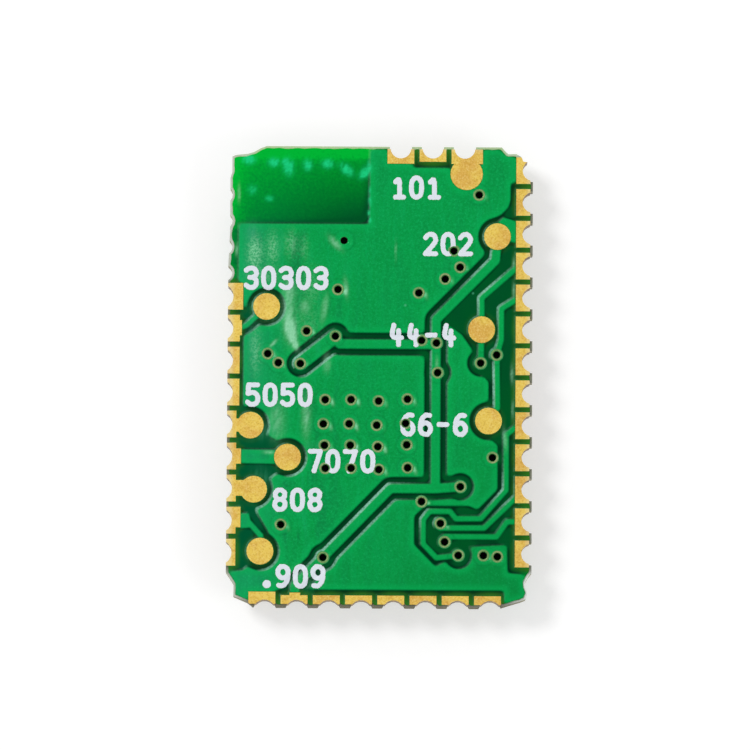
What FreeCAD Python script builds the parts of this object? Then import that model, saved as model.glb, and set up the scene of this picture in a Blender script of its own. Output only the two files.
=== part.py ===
"""Castellated radio module: a small circuit board with its parts on the underside.

The pad side, with the etched copper and the test pads, faces up. The module lies on
its chip and antenna. The origin is below the middle of the board, at the lowest face.
X runs across the board, Y along it towards the antenna, Z up. All sizes are in mm.
"""

import FreeCAD
import Part

import math
import os

from FreeCAD import Vector

doc = FreeCAD.newDocument("radio_module")

# Driving sizes

SIZES = {
    "board_width": (12.05, "across the tips of the teeth"),
    "board_length": (18.30, "across the tips of the teeth"),
    "board_thickness": (0.80, "glass-epoxy laminate"),
    "copper_thickness": (0.04, "foil with its plating, under the mask"),
    "pad_thickness": (0.065, "foil, barrel plating and gold finish of an open pad"),
    "plating": (0.04, "copper wall of a half hole"),
    "hole_pitch": (1.27, "from one half hole to the next"),
    "pad_width": (1.06, "open pad along the edge"),
    "side_row_start": (2.13, "lower edge of the board to the lowest pad of both side rows"),
    "right_row_end": (0.90, "least way from the last right pad to the upper edge"),
    "left_row_end": (5.98, "least way from the last left pad to the upper edge"),
    "bottom_row_end": (1.70, "least way from the last bottom pad to the right edge"),
    "bottom_row_start": (1.43, "left edge to the first pad of the bottom row"),
    "top_row_start": (5.24, "right edge to the first pad of the top row"),
    "drill_drift": (0.10, "how far the drilled row stands from the printed row"),
    "right_hole_radius": (0.41, "finished half hole, right row"),
    "right_hole_reach": (0.41, "how deep the right half holes cut in"),
    "left_hole_radius": (0.50, "finished half hole, left row"),
    "left_hole_reach": (0.22, "how deep the left half holes cut in"),
    "bottom_hole_radius": (0.44, "finished half hole, bottom row"),
    "bottom_hole_reach": (0.27, "how deep the bottom half holes cut in"),
    "top_hole_radius": (0.41, "finished half hole, top row"),
    "top_hole_reach": (0.47, "how deep the top half holes cut in"),
    "right_pad_reach": (0.66, "edge to the inner side of a right pad"),
    "left_pad_reach": (0.37, "edge to the inner side of a left pad with a trace"),
    "left_bare_reach": (0.48, "edge to the inner side of the left pads above the input pad"),
    "left_ground_reach": (0.60, "edge to the inner side of the uppermost left pad"),
    "left_neck_reach": (0.56, "edge to where the mask covers a trace of the left row"),
    "bottom_pad_reach": (0.45, "edge to the inner side of a bottom pad"),
    "bottom_ground_reach": (0.58, "edge to the inner side of the first bottom pad"),
    "bottom_neck_reach": (0.55, "edge to where the mask covers the supply trace"),
    "top_pad_reach": (0.68, "edge to the inner side of a top pad"),
    "top_supply_reach": (0.60, "edge to the inner side of the middle top pad"),
    "ground_pad_spread": (0.18, "how much wider the top pad of the ground is, to the right"),
    "bare_rim": (0.10, "laminate left bare outside a pad, but not in the left row"),
    "bite_radius": (0.34, "breakaway perforation in the left edge"),
    "bite_start": (1.94, "upper edge of the board to the first perforation"),
    "bite_pitch": (1.045, "from one perforation to the next"),
    "bite_reach": (0.16, "how deep a perforation cuts in"),
    "via_radius": (0.15, "drilled bore of a via"),
    "via_land_radius": (0.25, "copper round a via that carries a net"),
    "via_clearance": (0.31, "gap between the ground pour and the land of such a via"),
    "test_pad_radius": (0.53, "round probe pad"),
    "ground_pad_radius": (0.64, "round probe pad of the ground"),
    "clearance": (0.25, "gap between the ground pour and any other net"),
    "pour_inset": (0.12, "board edge to the ground pour"),
    "supply_width": (0.35, "supply trace"),
    "supply_clearance": (0.29, "gap between the ground pour and the supply trace"),
    "signal_width": (0.19, "signal traces"),
    "probe_width": (0.21, "traces of the probe pads"),
    "data_width": (0.53, "wide data trace"),
    "chip_offset": (-0.54, "middle of the board to the middle of the chip"),
    "chip_rise": (6.86, "lower edge of the board to the middle of the chip"),
    "chip_side": (6.00, "square chip package"),
    "chip_height": (0.90, "chip package"),
    "lead_pitch": (0.50, "from one chip lead to the next"),
    "lead_width": (0.25, "chip lead"),
    "lead_length": (0.40, "chip lead, inwards"),
    "lead_thickness": (0.20, "chip lead frame"),
    "chip_pad_side": (4.50, "ground pad under the chip"),
    "chip_corner_cut": (0.30, "marking corner of the chip's ground pad"),
    "land_thickness": (0.035, "copper land on the part side"),
    "antenna_length": (5.00, "ceramic antenna block"),
    "antenna_width": (2.00, "ceramic antenna block"),
    "antenna_height": (0.90, "ceramic antenna block"),
    "antenna_cap": (0.50, "metal end of the antenna"),
    "crystal_length": (3.20, "main crystal"),
    "crystal_width": (2.50, "main crystal"),
    "crystal_height": (0.70, "main crystal"),
    "watch_crystal_length": (3.20, "clock crystal"),
    "watch_crystal_width": (1.50, "clock crystal"),
    "watch_crystal_height": (0.80, "clock crystal"),
    "crystal_land_width": (0.90, "land under a corner of the main crystal"),
    "crystal_land_length": (1.10, "land under a corner of the main crystal"),
    "watch_land_width": (0.60, "land under a corner of the clock crystal"),
    "watch_land_length": (0.80, "land under a corner of the clock crystal"),
    "crystal_gap": (0.27, "edge of the chip to a crystal beside it"),
    "crystal_lid": (0.25, "metal lid on a crystal"),
    "lid_margin": (0.15, "rim of the ceramic base round the lid"),
    "balun_length": (2.00, "balun block"),
    "balun_width": (1.25, "balun block"),
    "balun_height": (0.70, "balun block"),
    "balun_terminal": (0.30, "side terminal of the balun, along its side"),
    "balun_plating": (0.08, "side terminal of the balun, off its side"),
    "balun_land": (0.50, "land under a side terminal of the balun, across its side"),
    "chip_part_length": (1.00, "small capacitors, coils and resistors"),
    "chip_part_width": (0.50, "small capacitors, coils and resistors"),
    "capacitor_height": (0.50, "small capacitors"),
    "coil_height": (0.50, "small coils"),
    "resistor_height": (0.35, "small resistors"),
    "chip_part_cap": (0.25, "metal end of a small part"),
    "fillet_reach": (0.15, "solder fillet at a metal end"),
}

# Counts are whole numbers of things, not lengths
TOP_PADS = 3
BITES = 4
LEADS_PER_SIDE = 10

# What repeats is many-sided instead of round, to keep the model light: sides of a full circle,
# and steps in the half circle at the end of a strip
BORE_SIDES = 10
HALF_HOLE_SIDES = 18
RING_SIDES = 24
LAND_SIDES = 16
BEND_STEPS = 6

sheet = doc.addObject("Spreadsheet::Sheet", "sizes")
for row, (alias, (value, meaning)) in enumerate(SIZES.items(), start=1):
    sheet.set(f"A{row}", alias)
    sheet.set(f"B{row}", str(value))
    sheet.set(f"C{row}", meaning)
    sheet.setAlias(f"B{row}", alias)
doc.recompute()


def size(alias):
    """Value of one driving size, read from the sheet."""
    return float(sheet.get(alias))


# Levels and edges

left = -size("board_width") / 2
right = size("board_width") / 2
bottom = -size("board_length") / 2
top = size("board_length") / 2
board_level = size("chip_height") + size("land_thickness")
copper_level = board_level + size("board_thickness")
BOARD_LEVEL = "sizes.chip_height + sizes.land_thickness"


# Shape helpers


def polygon(points, level, height):
    """Prism on a closed outline of (x, y) points."""
    corners = [Vector(x, y, level) for x, y in points]
    face = Part.Face(Part.makePolygon(corners + corners[:1]))
    return face.extrude(Vector(0, 0, height))


def plate(x_low, y_low, x_high, y_high, level, height):
    """Rectangular plate between two corners."""
    return Part.makeBox(x_high - x_low, y_high - y_low, height, Vector(x_low, y_low, level))


def rod(centre, radius, sides, level, height):
    """Many-sided rod about (x, y), with its corners on the circle of the radius."""
    corners = []
    for step in range(sides):
        angle = 2 * math.pi * step / sides
        x = centre[0] + radius * math.cos(angle)
        corners.append((x, centre[1] + radius * math.sin(angle)))
    return polygon(corners, level, height)


def run(start, end, width, level, height):
    """Straight copper strip with round ends."""
    heading = math.atan2(end[1] - start[1], end[0] - start[0])
    outline = []
    for place, first in ((end, heading - math.pi / 2), (start, heading + math.pi / 2)):
        for step in range(BEND_STEPS + 1):
            angle = first + math.pi * step / BEND_STEPS
            x = place[0] + width / 2 * math.cos(angle)
            outline.append((x, place[1] + width / 2 * math.sin(angle)))
    return polygon(outline, level, height)


def track(points, width, level, height):
    """Copper strip of even width along a path, with round ends and corners."""
    return joined([run(a, b, width, level, height) for a, b in zip(points, points[1:])])


def joined(shapes):
    """One solid from shapes that meet, without the seams between them."""
    whole = shapes[0].multiFuse(shapes[1:]) if len(shapes) > 1 else shapes[0]
    return whole.removeSplitter()


def without_slivers(shape):
    """Solids of a cut shape that are as large as a whole strip of copper."""
    least = size("signal_width") ** 2 * size("copper_thickness")
    return [solid for solid in shape.Solids if solid.Volume > least]


def feature(label, shape):
    """Document object that holds a finished shape."""
    item = doc.addObject("Part::Feature", label)
    item.Shape = shape
    item.Label = label
    return item


# Rows of half holes
# A row runs along one edge. Its local frame has U along the row and V inwards from the edge.


class Row:
    """Castellated pads along one edge: places of the pads and of their half holes."""

    def __init__(self, name, count, start, along, inwards, drift, rim, reaches):
        self.name = name
        self.count = count
        self.start = start
        self.along = along
        self.inwards = inwards
        self.drift = drift
        self.rim = rim
        self.radius = size(f"{name}_hole_radius")
        self.reach = size(f"{name}_hole_reach")
        self.pad_reach = size(f"{name}_pad_reach")
        self.reaches = reaches

    def reach_of(self, index):
        """Edge to the inner side of one pad."""
        return self.reaches.get(index, self.pad_reach)

    def at(self, index, along, inwards):
        """Point of the board at a place in the frame of one pad."""
        run = index * size("hole_pitch") + along
        x = self.start[0] + self.along[0] * run + self.inwards[0] * inwards
        y = self.start[1] + self.along[1] * run + self.inwards[1] * inwards
        return x, y

    def hole(self, index):
        """Middle of the half hole of one pad."""
        return self.at(index, self.drift, self.reach - self.radius)

    def inner(self, index):
        """Middle of the inner side of one pad, where its trace ends."""
        return self.at(index, 0, self.reach_of(index))

    def block(self, index, near, far, sides, level, height):
        """Plate in the frame of one pad, between two distances from the edge and two sides."""
        ends = [self.at(index, sides[0], near), self.at(index, sides[1], far)]
        xs = sorted(x for x, _ in ends)
        ys = sorted(y for _, y in ends)
        return plate(xs[0], ys[0], xs[1], ys[1], level, height)


def pads_between(length, start, end):
    """How many pads fit on an edge, from a start to an end measured from its two corners."""
    return int((length - start - end) / size("hole_pitch")) + 1


side_start = bottom + size("side_row_start")
side = (size("board_length"), size("side_row_start"))
right_count = pads_between(*side, size("right_row_end"))
right_row = Row(
    "right", right_count, (right, side_start), (0, 1), (-1, 0), 0, size("bare_rim"), {}
)
left_count = pads_between(*side, size("left_row_end"))
left_reaches = dict.fromkeys((5, 6, 7), size("left_bare_reach"))
left_reaches[8] = size("left_ground_reach")
left_row = Row("left", left_count, (left, side_start), (0, 1), (1, 0), 0, 0, left_reaches)
bottom_row = Row(
    "bottom",
    pads_between(size("board_width"), size("bottom_row_start"), size("bottom_row_end")),
    (left + size("bottom_row_start"), bottom),
    (1, 0),
    (0, 1),
    size("drill_drift"),
    size("bare_rim"),
    {0: size("bottom_ground_reach")},
)
top_row = Row(
    "top",
    TOP_PADS,
    (right - size("top_row_start"), top),
    (1, 0),
    (0, -1),
    0,
    size("bare_rim"),
    {1: size("top_supply_reach")},
)
ROWS = [right_row, left_row, bottom_row, top_row]


# Places on the pad side
# Across, each place is measured from the nearer side edge. Along, it is measured from the lower
# edge, as the side rows are; only what belongs to the upper edge is measured from there.

ground_probe = top_row.at(2, 0.07, 1.08)
supply_probe = (right - 1.40, bottom + 14.73)
upper_probe = (right - 2.01, bottom + 11.02)
lower_probe = (right - 1.72, bottom + 7.39)
reset_probe = (left + 1.53, bottom + 11.89)
input_probe = (left + 0.92, bottom + 7.17)
data_probe = (left + 2.40, bottom + 5.91)
select_probe = (left + 1.07, bottom + 4.63)
clock_probe = (left + 1.34, bottom + 2.18)

chip_centre = (size("chip_offset"), bottom + size("chip_rise"))

supply_bend = (right - 3.81, bottom + 11.41)
supply_fork = (right - 3.81, bottom + 10.42)
supply_foot = (right - 3.81, bottom + 4.70)
supply_end = (right - 2.82, bottom + 4.78)
supply_turn = (0.45, bottom + 4.70)
supply_exit = (left + 3.82, bottom + 1.95)
supply_joint = (right - 3.74, bottom + 9.30)
left_fork = (left + 4.26, bottom + 10.73)
left_end = (left + 2.88, bottom + 9.63)
upper_via = (right - 2.04, bottom + 9.69)
lower_via = (right - 1.41, bottom + 10.02)
outer_via = (right - 2.89, bottom + 2.06)
middle_via = (right - 3.60, bottom + 3.32)
inner_via = (right - 3.43, bottom + 2.59)
bridge_via = (right - 4.35, bottom + 4.18)

# Vias that carry a net, those of the supply first, then the vias of the ground
NET_VIAS = [
    supply_end,
    supply_exit,
    left_fork,
    left_end,
    (right - 4.38, bottom + 10.58),
    (right - 3.79, bottom + 10.48),
    supply_joint,
    upper_via,
    lower_via,
    outer_via,
    middle_via,
    inner_via,
]
SUPPLY_VIAS = 7
GROUND_VIAS = [
    bridge_via,
    (right - 2.13, bottom + 16.39),
    (left + 4.58, bottom + 14.54),
    (right - 3.12, bottom + 14.15),
    (right - 2.87, bottom + 13.50),
    (right - 3.46, bottom + 13.03),
    (left + 4.35, bottom + 12.59),
    (right - 4.50, bottom + 12.47),
    (left + 3.12, bottom + 10.93),
    (left + 1.59, bottom + 10.02),
    (left + 2.01, bottom + 9.66),
    (right - 1.56, bottom + 5.94),
    (left + 2.15, bottom + 3.24),
    (right - 1.90, bottom + 2.06),
    (right - 1.35, bottom + 2.02),
]
# The thermal vias stand under the chip, four in each of four rows, a little out of line
THERMAL_COLUMNS = ((-1.63, 0.0), (-0.61, 0.01), (0.48, -0.04), (1.62, 0.04))
THERMAL_ROWS = ((1.34, 0.02), (0.38, -0.05), (-0.47, 0.0), (-1.38, 0.04))
THERMAL_VIAS = [
    (chip_centre[0] + x + x_drift, chip_centre[1] + y + y_drift)
    for y, x_drift in THERMAL_ROWS
    for x, y_drift in THERMAL_COLUMNS
]
ALL_VIAS = NET_VIAS + GROUND_VIAS + THERMAL_VIAS


def through(places, radius, sides):
    """Rods of one radius that reach from below the board to above the copper."""
    reach = size("board_thickness")
    return [rod(place, radius, sides, board_level - reach, 3 * reach) for place in places]


via_drills = feature(
    "via_drills", Part.makeCompound(through(ALL_VIAS, size("via_radius"), BORE_SIDES))
)


# Laminate board


def origin_plane(body, role):
    """Plane of the body's own origin."""
    return next(item for item in body.Origin.OriginFeatures if item.Role == role)


# The blank has one broken corner at each end of its long sides, where it hung in its panel
BLANK = [
    (left, bottom + 1.35),
    (left + 0.17, bottom + 1.10),
    (left + 0.31, bottom + 0.88),
    (left + 0.30, bottom + 0.41),
    (left + 0.85, bottom + 0.18),
    (left + 1.08, bottom),
    (right - 1.28, bottom),
    (right - 0.91, bottom + 0.12),
    (right - 0.44, bottom + 0.26),
    (right - 0.24, bottom + 0.34),
    (right - 0.15, bottom + 0.60),
    (right - 0.25, bottom + 0.84),
    (right - 0.25, bottom + 1.02),
    (right - 0.12, bottom + 1.24),
    (right, bottom + 1.38),
    (right, top - 0.62),
    (right - 0.38, top - 0.57),
    (right - 0.47, top - 0.37),
    (right - 0.67, top - 0.26),
    (right - 0.98, top - 0.27),
    (right - 1.10, top - 0.16),
    (right - 1.24, top),
    (left + 1.50, top),
    (left + 1.27, top - 0.08),
    (left + 0.99, top - 0.24),
    (left + 0.77, top - 0.31),
    (left + 0.30, top - 0.36),
    (left + 0.13, top - 0.42),
    (left + 0.13, top - 1.04),
    (left + 0.06, top - 1.28),
    (left + 0.06, top - 3.40),
    (left, top - 4.74),
]

blank_body = doc.addObject("PartDesign::Body", "blank")
blank_sketch = blank_body.newObject("Sketcher::SketchObject", "blank_outline")
blank_sketch.AttachmentSupport = [(origin_plane(blank_body, "XY_Plane"), "")]
blank_sketch.MapMode = "FlatFace"
blank_sketch.setExpression("AttachmentOffset.Base.z", BOARD_LEVEL)
for index, (x, y) in enumerate(BLANK):
    next_x, next_y = BLANK[(index + 1) % len(BLANK)]
    line = Part.LineSegment(Vector(x, y, 0), Vector(next_x, next_y, 0))
    blank_sketch.addGeometry(line, False)
blank_pad = blank_body.newObject("PartDesign::Pad", "blank_pad")
blank_pad.Profile = blank_sketch
blank_pad.setExpression("Length", "sizes.board_thickness")


# Half holes with room for their plating, and the breakaway holes in the upper left edge
half_holes = []
for row in ROWS:
    places = [row.hole(index) for index in range(row.count)]
    half_holes += through(places, row.radius + size("plating"), HALF_HOLE_SIDES)
bite_x = left + size("bite_reach") - size("bite_radius")
bite_top = top - size("bite_start")
bites = [(bite_x, bite_top - index * size("bite_pitch")) for index in range(BITES)]
half_holes += through(bites, size("bite_radius"), HALF_HOLE_SIDES)
edge_drills = feature("edge_drills", Part.makeCompound(half_holes))

holed = doc.addObject("Part::Cut", "holed_board")
holed.Base = blank_body
holed.Tool = edge_drills
laminate = doc.addObject("Part::Cut", "laminate_board")
laminate.Base = holed
laminate.Tool = via_drills
laminate.Label = "laminate_board"


# Open pads with their plated half holes


def outline_prism():
    """Everything above and below the blank, to trim what would hang over a broken corner."""
    reach = size("board_thickness")
    return polygon(BLANK, board_level - reach, 3 * reach)


def castellation(row, index, extra):
    """Upper land, half barrel and lower land of one pad, as one piece of copper."""
    half = size("pad_width") / 2
    sides = (-half, half)
    far = row.reach_of(index)
    under = size("land_thickness")
    low = board_level - under
    tall = copper_level + size("pad_thickness") - low
    hole = row.hole(index)
    wall = rod(hole, row.radius + size("plating"), HALF_HOLE_SIDES, low, tall)
    wall = wall.common(row.block(index, row.rim, far, sides, low, tall))
    lands = [
        row.block(index, row.rim, far, sides, copper_level, size("pad_thickness")),
        row.block(index, row.rim, far, sides, low, under),
    ]
    whole = joined([wall] + lands + extra)
    finished = rod(hole, row.radius, HALF_HOLE_SIDES, low, tall)
    return whole.cut(finished).common(outline_prism())


def probe(centre, radius="test_pad_radius"):
    """Round open pad."""
    return rod(centre, size(radius), RING_SIDES, copper_level, size("pad_thickness"))


def bared(row, index, near, far, sides):
    """Open copper beside a pad, where the mask leaves the start of its trace bare."""
    return row.block(index, near, far, sides, copper_level, size("pad_thickness"))


# Three probe pads run into the open pad beside them, and five traces start bare
pad_half = size("pad_width") / 2
left_neck = (size("left_pad_reach") - size("plating"), size("left_neck_reach"))
bottom_neck = (size("bottom_pad_reach") - size("plating"), size("bottom_neck_reach"))
MERGED = {
    ("top", 2): [
        probe(ground_probe, "ground_pad_radius"),
        bared(
            top_row,
            2,
            size("bare_rim"),
            size("top_pad_reach"),
            (0, pad_half + size("ground_pad_spread")),
        ),
    ],
    ("left", 1): [bared(left_row, 1, *left_neck, (-0.28, pad_half))],
    ("left", 2): [
        probe(select_probe),
        bared(left_row, 2, left_neck[0], select_probe[0] - left, (-0.30, 0.32)),
    ],
    ("left", 3): [bared(left_row, 3, *left_neck, (-0.30, 0.30))],
    ("left", 4): [
        probe(input_probe),
        bared(left_row, 4, left_neck[0], input_probe[0] - left, (-0.30, 0.22)),
    ],
    ("left", 7): [bared(left_row, 7, *left_neck, (-0.28, 0.32))],
    ("bottom", 1): [bared(bottom_row, 1, *bottom_neck, (-0.18, 0.24))],
}

castellations = []
for row in ROWS:
    pads = [castellation(row, i, MERGED.get((row.name, i), [])) for i in range(row.count)]
    castellations.append(feature(f"castellations_{row.name}", Part.makeCompound(pads)))

FREE_PROBES = [supply_probe, upper_probe, lower_probe, reset_probe, data_probe, clock_probe]
test_pads = feature("test_pads", Part.makeCompound([probe(place) for place in FREE_PROBES]))


# Traces under the mask


def trace(label, strips, patches=(), vias=()):
    """Copper of one net, cut back where its open pads and the bores begin.

    strips holds (path, width) pairs, patches holds outlines of wider copper and vias holds
    the places that get a round land. An open pad can part one net into several strips.
    """
    thickness = size("copper_thickness")
    land = size("via_land_radius")
    copper = [track(path, width, copper_level, thickness) for path, width in strips]
    copper += [polygon(outline, copper_level, thickness) for outline in patches]
    copper += [rod(place, land, LAND_SIDES, copper_level, thickness) for place in vias]
    whole = joined(copper)
    for item in castellations + [test_pads, via_drills, edge_drills]:
        whole = whole.cut(item.Shape)
    return feature(label, Part.makeCompound(without_slivers(whole)))


def right_inner(index, along=0.0):
    """Point just inside a right pad, where a trace runs into it."""
    return right_row.at(index, along, size("right_pad_reach") - size("signal_width") / 2)


def left_inner(index, along=0.0):
    """Point just inside a left pad, where a trace runs into it."""
    return left_row.at(index, along, size("left_neck_reach") - size("signal_width") / 2)


supply_low = (left + 2.72, bottom + 0.81)
SUPPLY_STRIPS = [
    (
        [
            supply_probe,
            (right - 1.48, bottom + 13.78),
            supply_bend,
            supply_foot,
            supply_turn,
            supply_exit,
            supply_low,
            (supply_low[0], bottom + size("bottom_pad_reach") - size("signal_width") / 2),
        ],
        size("supply_width"),
    ),
    ([supply_fork, (left + 4.43, bottom + 10.42), left_fork], size("supply_width")),
    ([left_fork, left_end], size("data_width")),
    ([supply_foot, supply_end], size("supply_width")),
]
pad_three = right_row.inner(10)
SUPPLY_PATCH = [
    (supply_probe[0], supply_probe[1] + size("test_pad_radius")),
    (right - 1.17, pad_three[1] + 0.66),
    (pad_three[0], pad_three[1] + 0.50),
    (pad_three[0], pad_three[1] - 0.35),
    supply_probe,
]
RESET_STRIPS = [([reset_probe, (left + 0.75, bottom + 11.15), left_inner(7)], size("signal_width"))]
DATA_STRIPS = [([left_inner(3), data_probe], size("data_width"))]
clock_turn = (left + 0.83, bottom + 3.39)
CLOCK_STRIPS = [([clock_turn, (left + 1.37, bottom + 2.79), clock_probe], size("signal_width"))]
CLOCK_PATCH = [
    (left + size("left_neck_reach"), bottom + 3.67),
    (left + 0.88, bottom + 3.67),
    (clock_turn[0] + 0.12, clock_turn[1]),
    (left + 0.90, bottom + 3.12),
    (left + size("left_neck_reach"), bottom + 3.09),
]

supply_trace = trace("supply_trace", SUPPLY_STRIPS, [SUPPLY_PATCH], NET_VIAS[:SUPPLY_VIAS])
traces = [
    supply_trace,
    trace("reset_trace", RESET_STRIPS),
    trace("data_trace", DATA_STRIPS),
    trace("clock_trace", CLOCK_STRIPS, [CLOCK_PATCH]),
    trace(
        "upper_probe_trace",
        [
            ([right_inner(9), (right - 2.02, bottom + 12.28), upper_probe], size("probe_width")),
            ([upper_probe, upper_via], size("probe_width")),
        ],
        vias=[upper_via],
    ),
    trace(
        "lower_probe_trace",
        [
            (
                [
                    right_inner(8),
                    (right - 1.24, bottom + 11.86),
                    (right - 1.24, bottom + 10.63),
                    lower_via,
                    (right - 1.38, bottom + 7.91),
                    lower_probe,
                ],
                size("probe_width"),
            ),
        ],
        vias=[lower_via],
    ),
    trace(
        "outer_signal_trace",
        [
            (
                [
                    right_inner(4),
                    (right - 1.02, bottom + 6.85),
                    (right - 1.02, bottom + 4.65),
                    (right - 2.01, bottom + 3.52),
                    (right - 2.99, bottom + 3.51),
                    (right - 3.22, bottom + 3.80),
                    (right - 4.03, bottom + 3.80),
                    (right - 4.28, bottom + 3.47),
                    (right - 4.28, bottom + 2.51),
                    (right - 3.75, bottom + 1.96),
                    outer_via,
                ],
                size("signal_width"),
            ),
        ],
        vias=[outer_via],
    ),
    trace(
        "middle_signal_trace",
        [
            (
                [
                    right_inner(2, -0.25),
                    (right - 1.87, bottom + 3.15),
                    (right - 3.60, bottom + 3.14),
                    middle_via,
                ],
                size("signal_width"),
            ),
        ],
        vias=[middle_via],
    ),
    trace(
        "inner_signal_trace",
        [
            (
                [
                    right_inner(1),
                    (right - 0.97, bottom + 3.41),
                    (right - 1.39, bottom + 2.80),
                    (right - 3.43, bottom + 2.80),
                    inner_via,
                ],
                size("signal_width"),
            ),
        ],
        vias=[inner_via],
    ),
]


# Ground pour
# The pour fills its outline, less every other net grown by the clearance.

inset = size("pour_inset")
ground_pad_x = right - size("right_pad_reach")
antenna_x = -0.43
POUR = [
    (antenna_x, top - 3.11),
    (antenna_x, top - inset),
    (right - 1.30, top - inset),
    (right - 1.10, top - 0.34),
    (right - 0.72, top - 0.40),
    (ground_pad_x, top - 0.46),
    (ground_pad_x, top - 1.41),
    (right - 0.90, top - 1.41),
    (right - 0.90, bottom + 16.20),
    (right - 0.98, bottom + 15.90),
    (right - 1.28, bottom + 15.60),
    (right - 1.62, bottom + 15.46),
    supply_probe,
    (right - 1.48, bottom + 13.78),
    supply_bend,
    (right - 3.63, bottom + 11.40),
    (right - 2.81, bottom + 10.82),
    (right - 2.39, bottom + 10.21),
    upper_via,
    (right - 1.88, bottom + 9.08),
    (right - 1.74, bottom + 8.96),
    (right - 1.74, bottom + 8.26),
    lower_probe,
    (right - 1.55, bottom + 6.57),
    (right - 1.37, bottom + 6.44),
    (right - 1.37, bottom + 4.68),
    (right - 2.15, bottom + 3.88),
    (right - 2.45, bottom + 4.03),
    (right - 4.20, bottom + 4.03),
    (right - 4.65, bottom + 3.62),
    (right - 4.65, bottom + 2.47),
    (right - 3.80, bottom + 1.60),
    outer_via,
    (right - 2.44, bottom + 2.39),
    (right - 0.98, bottom + 2.47),
    (right - 0.96, bottom + 1.36),
    (right - 0.22, bottom + 1.30),
    (right - 0.33, bottom + 1.02),
    (right - 0.33, bottom + 0.84),
    (right - 0.23, bottom + 0.60),
    (right - 0.31, bottom + 0.41),
    (right - 0.49, bottom + 0.34),
    (right - 1.07, bottom + 0.16),
    (right - 1.07, bottom + 0.69),
    (left + 1.96, bottom + 0.69),
    (left + 1.96, bottom + size("bottom_pad_reach")),
    (left + 0.95, bottom + size("bottom_pad_reach")),
    (left + 0.91, bottom + 0.24),
    (left + 0.38, bottom + 0.46),
    (left + 0.39, bottom + 0.90),
    (left + 0.23, bottom + 1.15),
    (left + 0.09, bottom + 1.36),
    (left + 0.70, bottom + 1.42),
    clock_probe,
    (left + 1.66, bottom + 2.99),
    (left + 1.22, bottom + 3.73),
    select_probe,
    (left + 1.95, bottom + 5.22),
    data_probe,
    (left + 1.95, bottom + 6.60),
    input_probe,
    (left + 0.64, bottom + 7.95),
    (left + 0.64, bottom + 10.90),
    (left + 0.95, bottom + 11.25),
    reset_probe,
    (left + size("left_neck_reach"), bottom + 11.85),
    (left + size("left_neck_reach"), bottom + 12.80),
    (left + 0.42, bottom + 12.90),
    (left + 0.42, top - 3.11),
]


def grown(strips, gap):
    """Strips of one net, widened by a gap on both sides."""
    thickness = size("copper_thickness")
    return [track(path, width + 2 * gap, copper_level, thickness) for path, width in strips]


def ground_pours():
    """The two fields of the pour, upper left and lower right of the supply trace."""
    thickness = size("copper_thickness")
    gap = size("clearance")
    pour = polygon(POUR, copper_level, thickness)
    holes = grown(SUPPLY_STRIPS, size("supply_clearance"))
    holes += grown(RESET_STRIPS, gap) + grown(CLOCK_STRIPS, gap)
    ring = size("test_pad_radius") + gap
    probes = FREE_PROBES + [input_probe, select_probe]
    holes += [rod(place, ring, RING_SIDES, copper_level, thickness) for place in probes]
    ring = size("via_land_radius") + size("via_clearance")
    supplied = (supply_end, supply_exit, supply_joint, left_fork, left_end)
    for place in (*supplied, upper_via, outer_via):
        holes.append(rod(place, ring, RING_SIDES, copper_level, thickness))
    sides = (-pad_half - gap, pad_half + gap)
    far = size("top_supply_reach") + gap
    holes.append(top_row.block(1, 0, far, sides, copper_level, thickness))
    pour = pour.cut(joined(holes))
    for item in castellations + [edge_drills, via_drills]:
        pour = pour.cut(item.Shape)
    solids = sorted(pour.removeSplitter().Solids, key=lambda solid: -solid.Volume)
    return solids[:2]


upper_field, lower_field = ground_pours()
upper_ground = feature("upper_ground_pour", upper_field)
lower_ground = feature("lower_ground_pour", lower_field)


# Parts on the underside


def box(label, length, width, height, x, y, level):
    """Block centred on (x, y) with its lower face at a level. Each argument is an expression."""
    item = doc.addObject("Part::Box", label)
    item.Label = label
    item.setExpression("Length", length)
    item.setExpression("Width", width)
    item.setExpression("Height", height)
    item.setExpression("Placement.Base.x", f"{x} - ({length}) / 2")
    item.setExpression("Placement.Base.y", f"{y} - ({width}) / 2")
    item.setExpression("Placement.Base.z", level)
    return item


def group(label, items):
    """Like pieces of one kind, kept as separate solids in one node."""
    item = doc.addObject("Part::Compound", label)
    item.Links = items
    item.Label = label
    return item


# Radio chip: moulded package, with leads let into its upper edges and soldered to the board

CHIP_X = "sizes.chip_offset"
CHIP_Y = "(-sizes.board_length / 2 + sizes.chip_rise)"
CHIP_LEFT = f"({CHIP_X} - sizes.chip_side / 2)"
CHIP_RIGHT = f"({CHIP_X} + sizes.chip_side / 2)"
CHIP_LOW = f"({CHIP_Y} - sizes.chip_side / 2)"
CHIP_HIGH = f"({CHIP_Y} + sizes.chip_side / 2)"
LEAD_LEVEL = "sizes.chip_height - sizes.lead_thickness"
LEAD_RISE = "(sizes.lead_thickness + sizes.land_thickness)"

leads = []
for side in range(4):
    sign = "-" if side < 2 else "+"
    out = f"{sign}((sizes.chip_side - sizes.lead_length) / 2)"
    for index in range(LEADS_PER_SIDE):
        shift = f"({index} - {LEADS_PER_SIDE - 1} / 2) * sizes.lead_pitch"
        if side % 2 == 1:
            place = (f"{CHIP_X} {out}", f"{CHIP_Y} + {shift}")
            plan = ("sizes.lead_length", "sizes.lead_width")
        else:
            place = (f"{CHIP_X} + {shift}", f"{CHIP_Y} {out}")
            plan = ("sizes.lead_width", "sizes.lead_length")
        leads.append(box(f"lead_{side}_{index}", *plan, LEAD_RISE, *place, LEAD_LEVEL))


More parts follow.
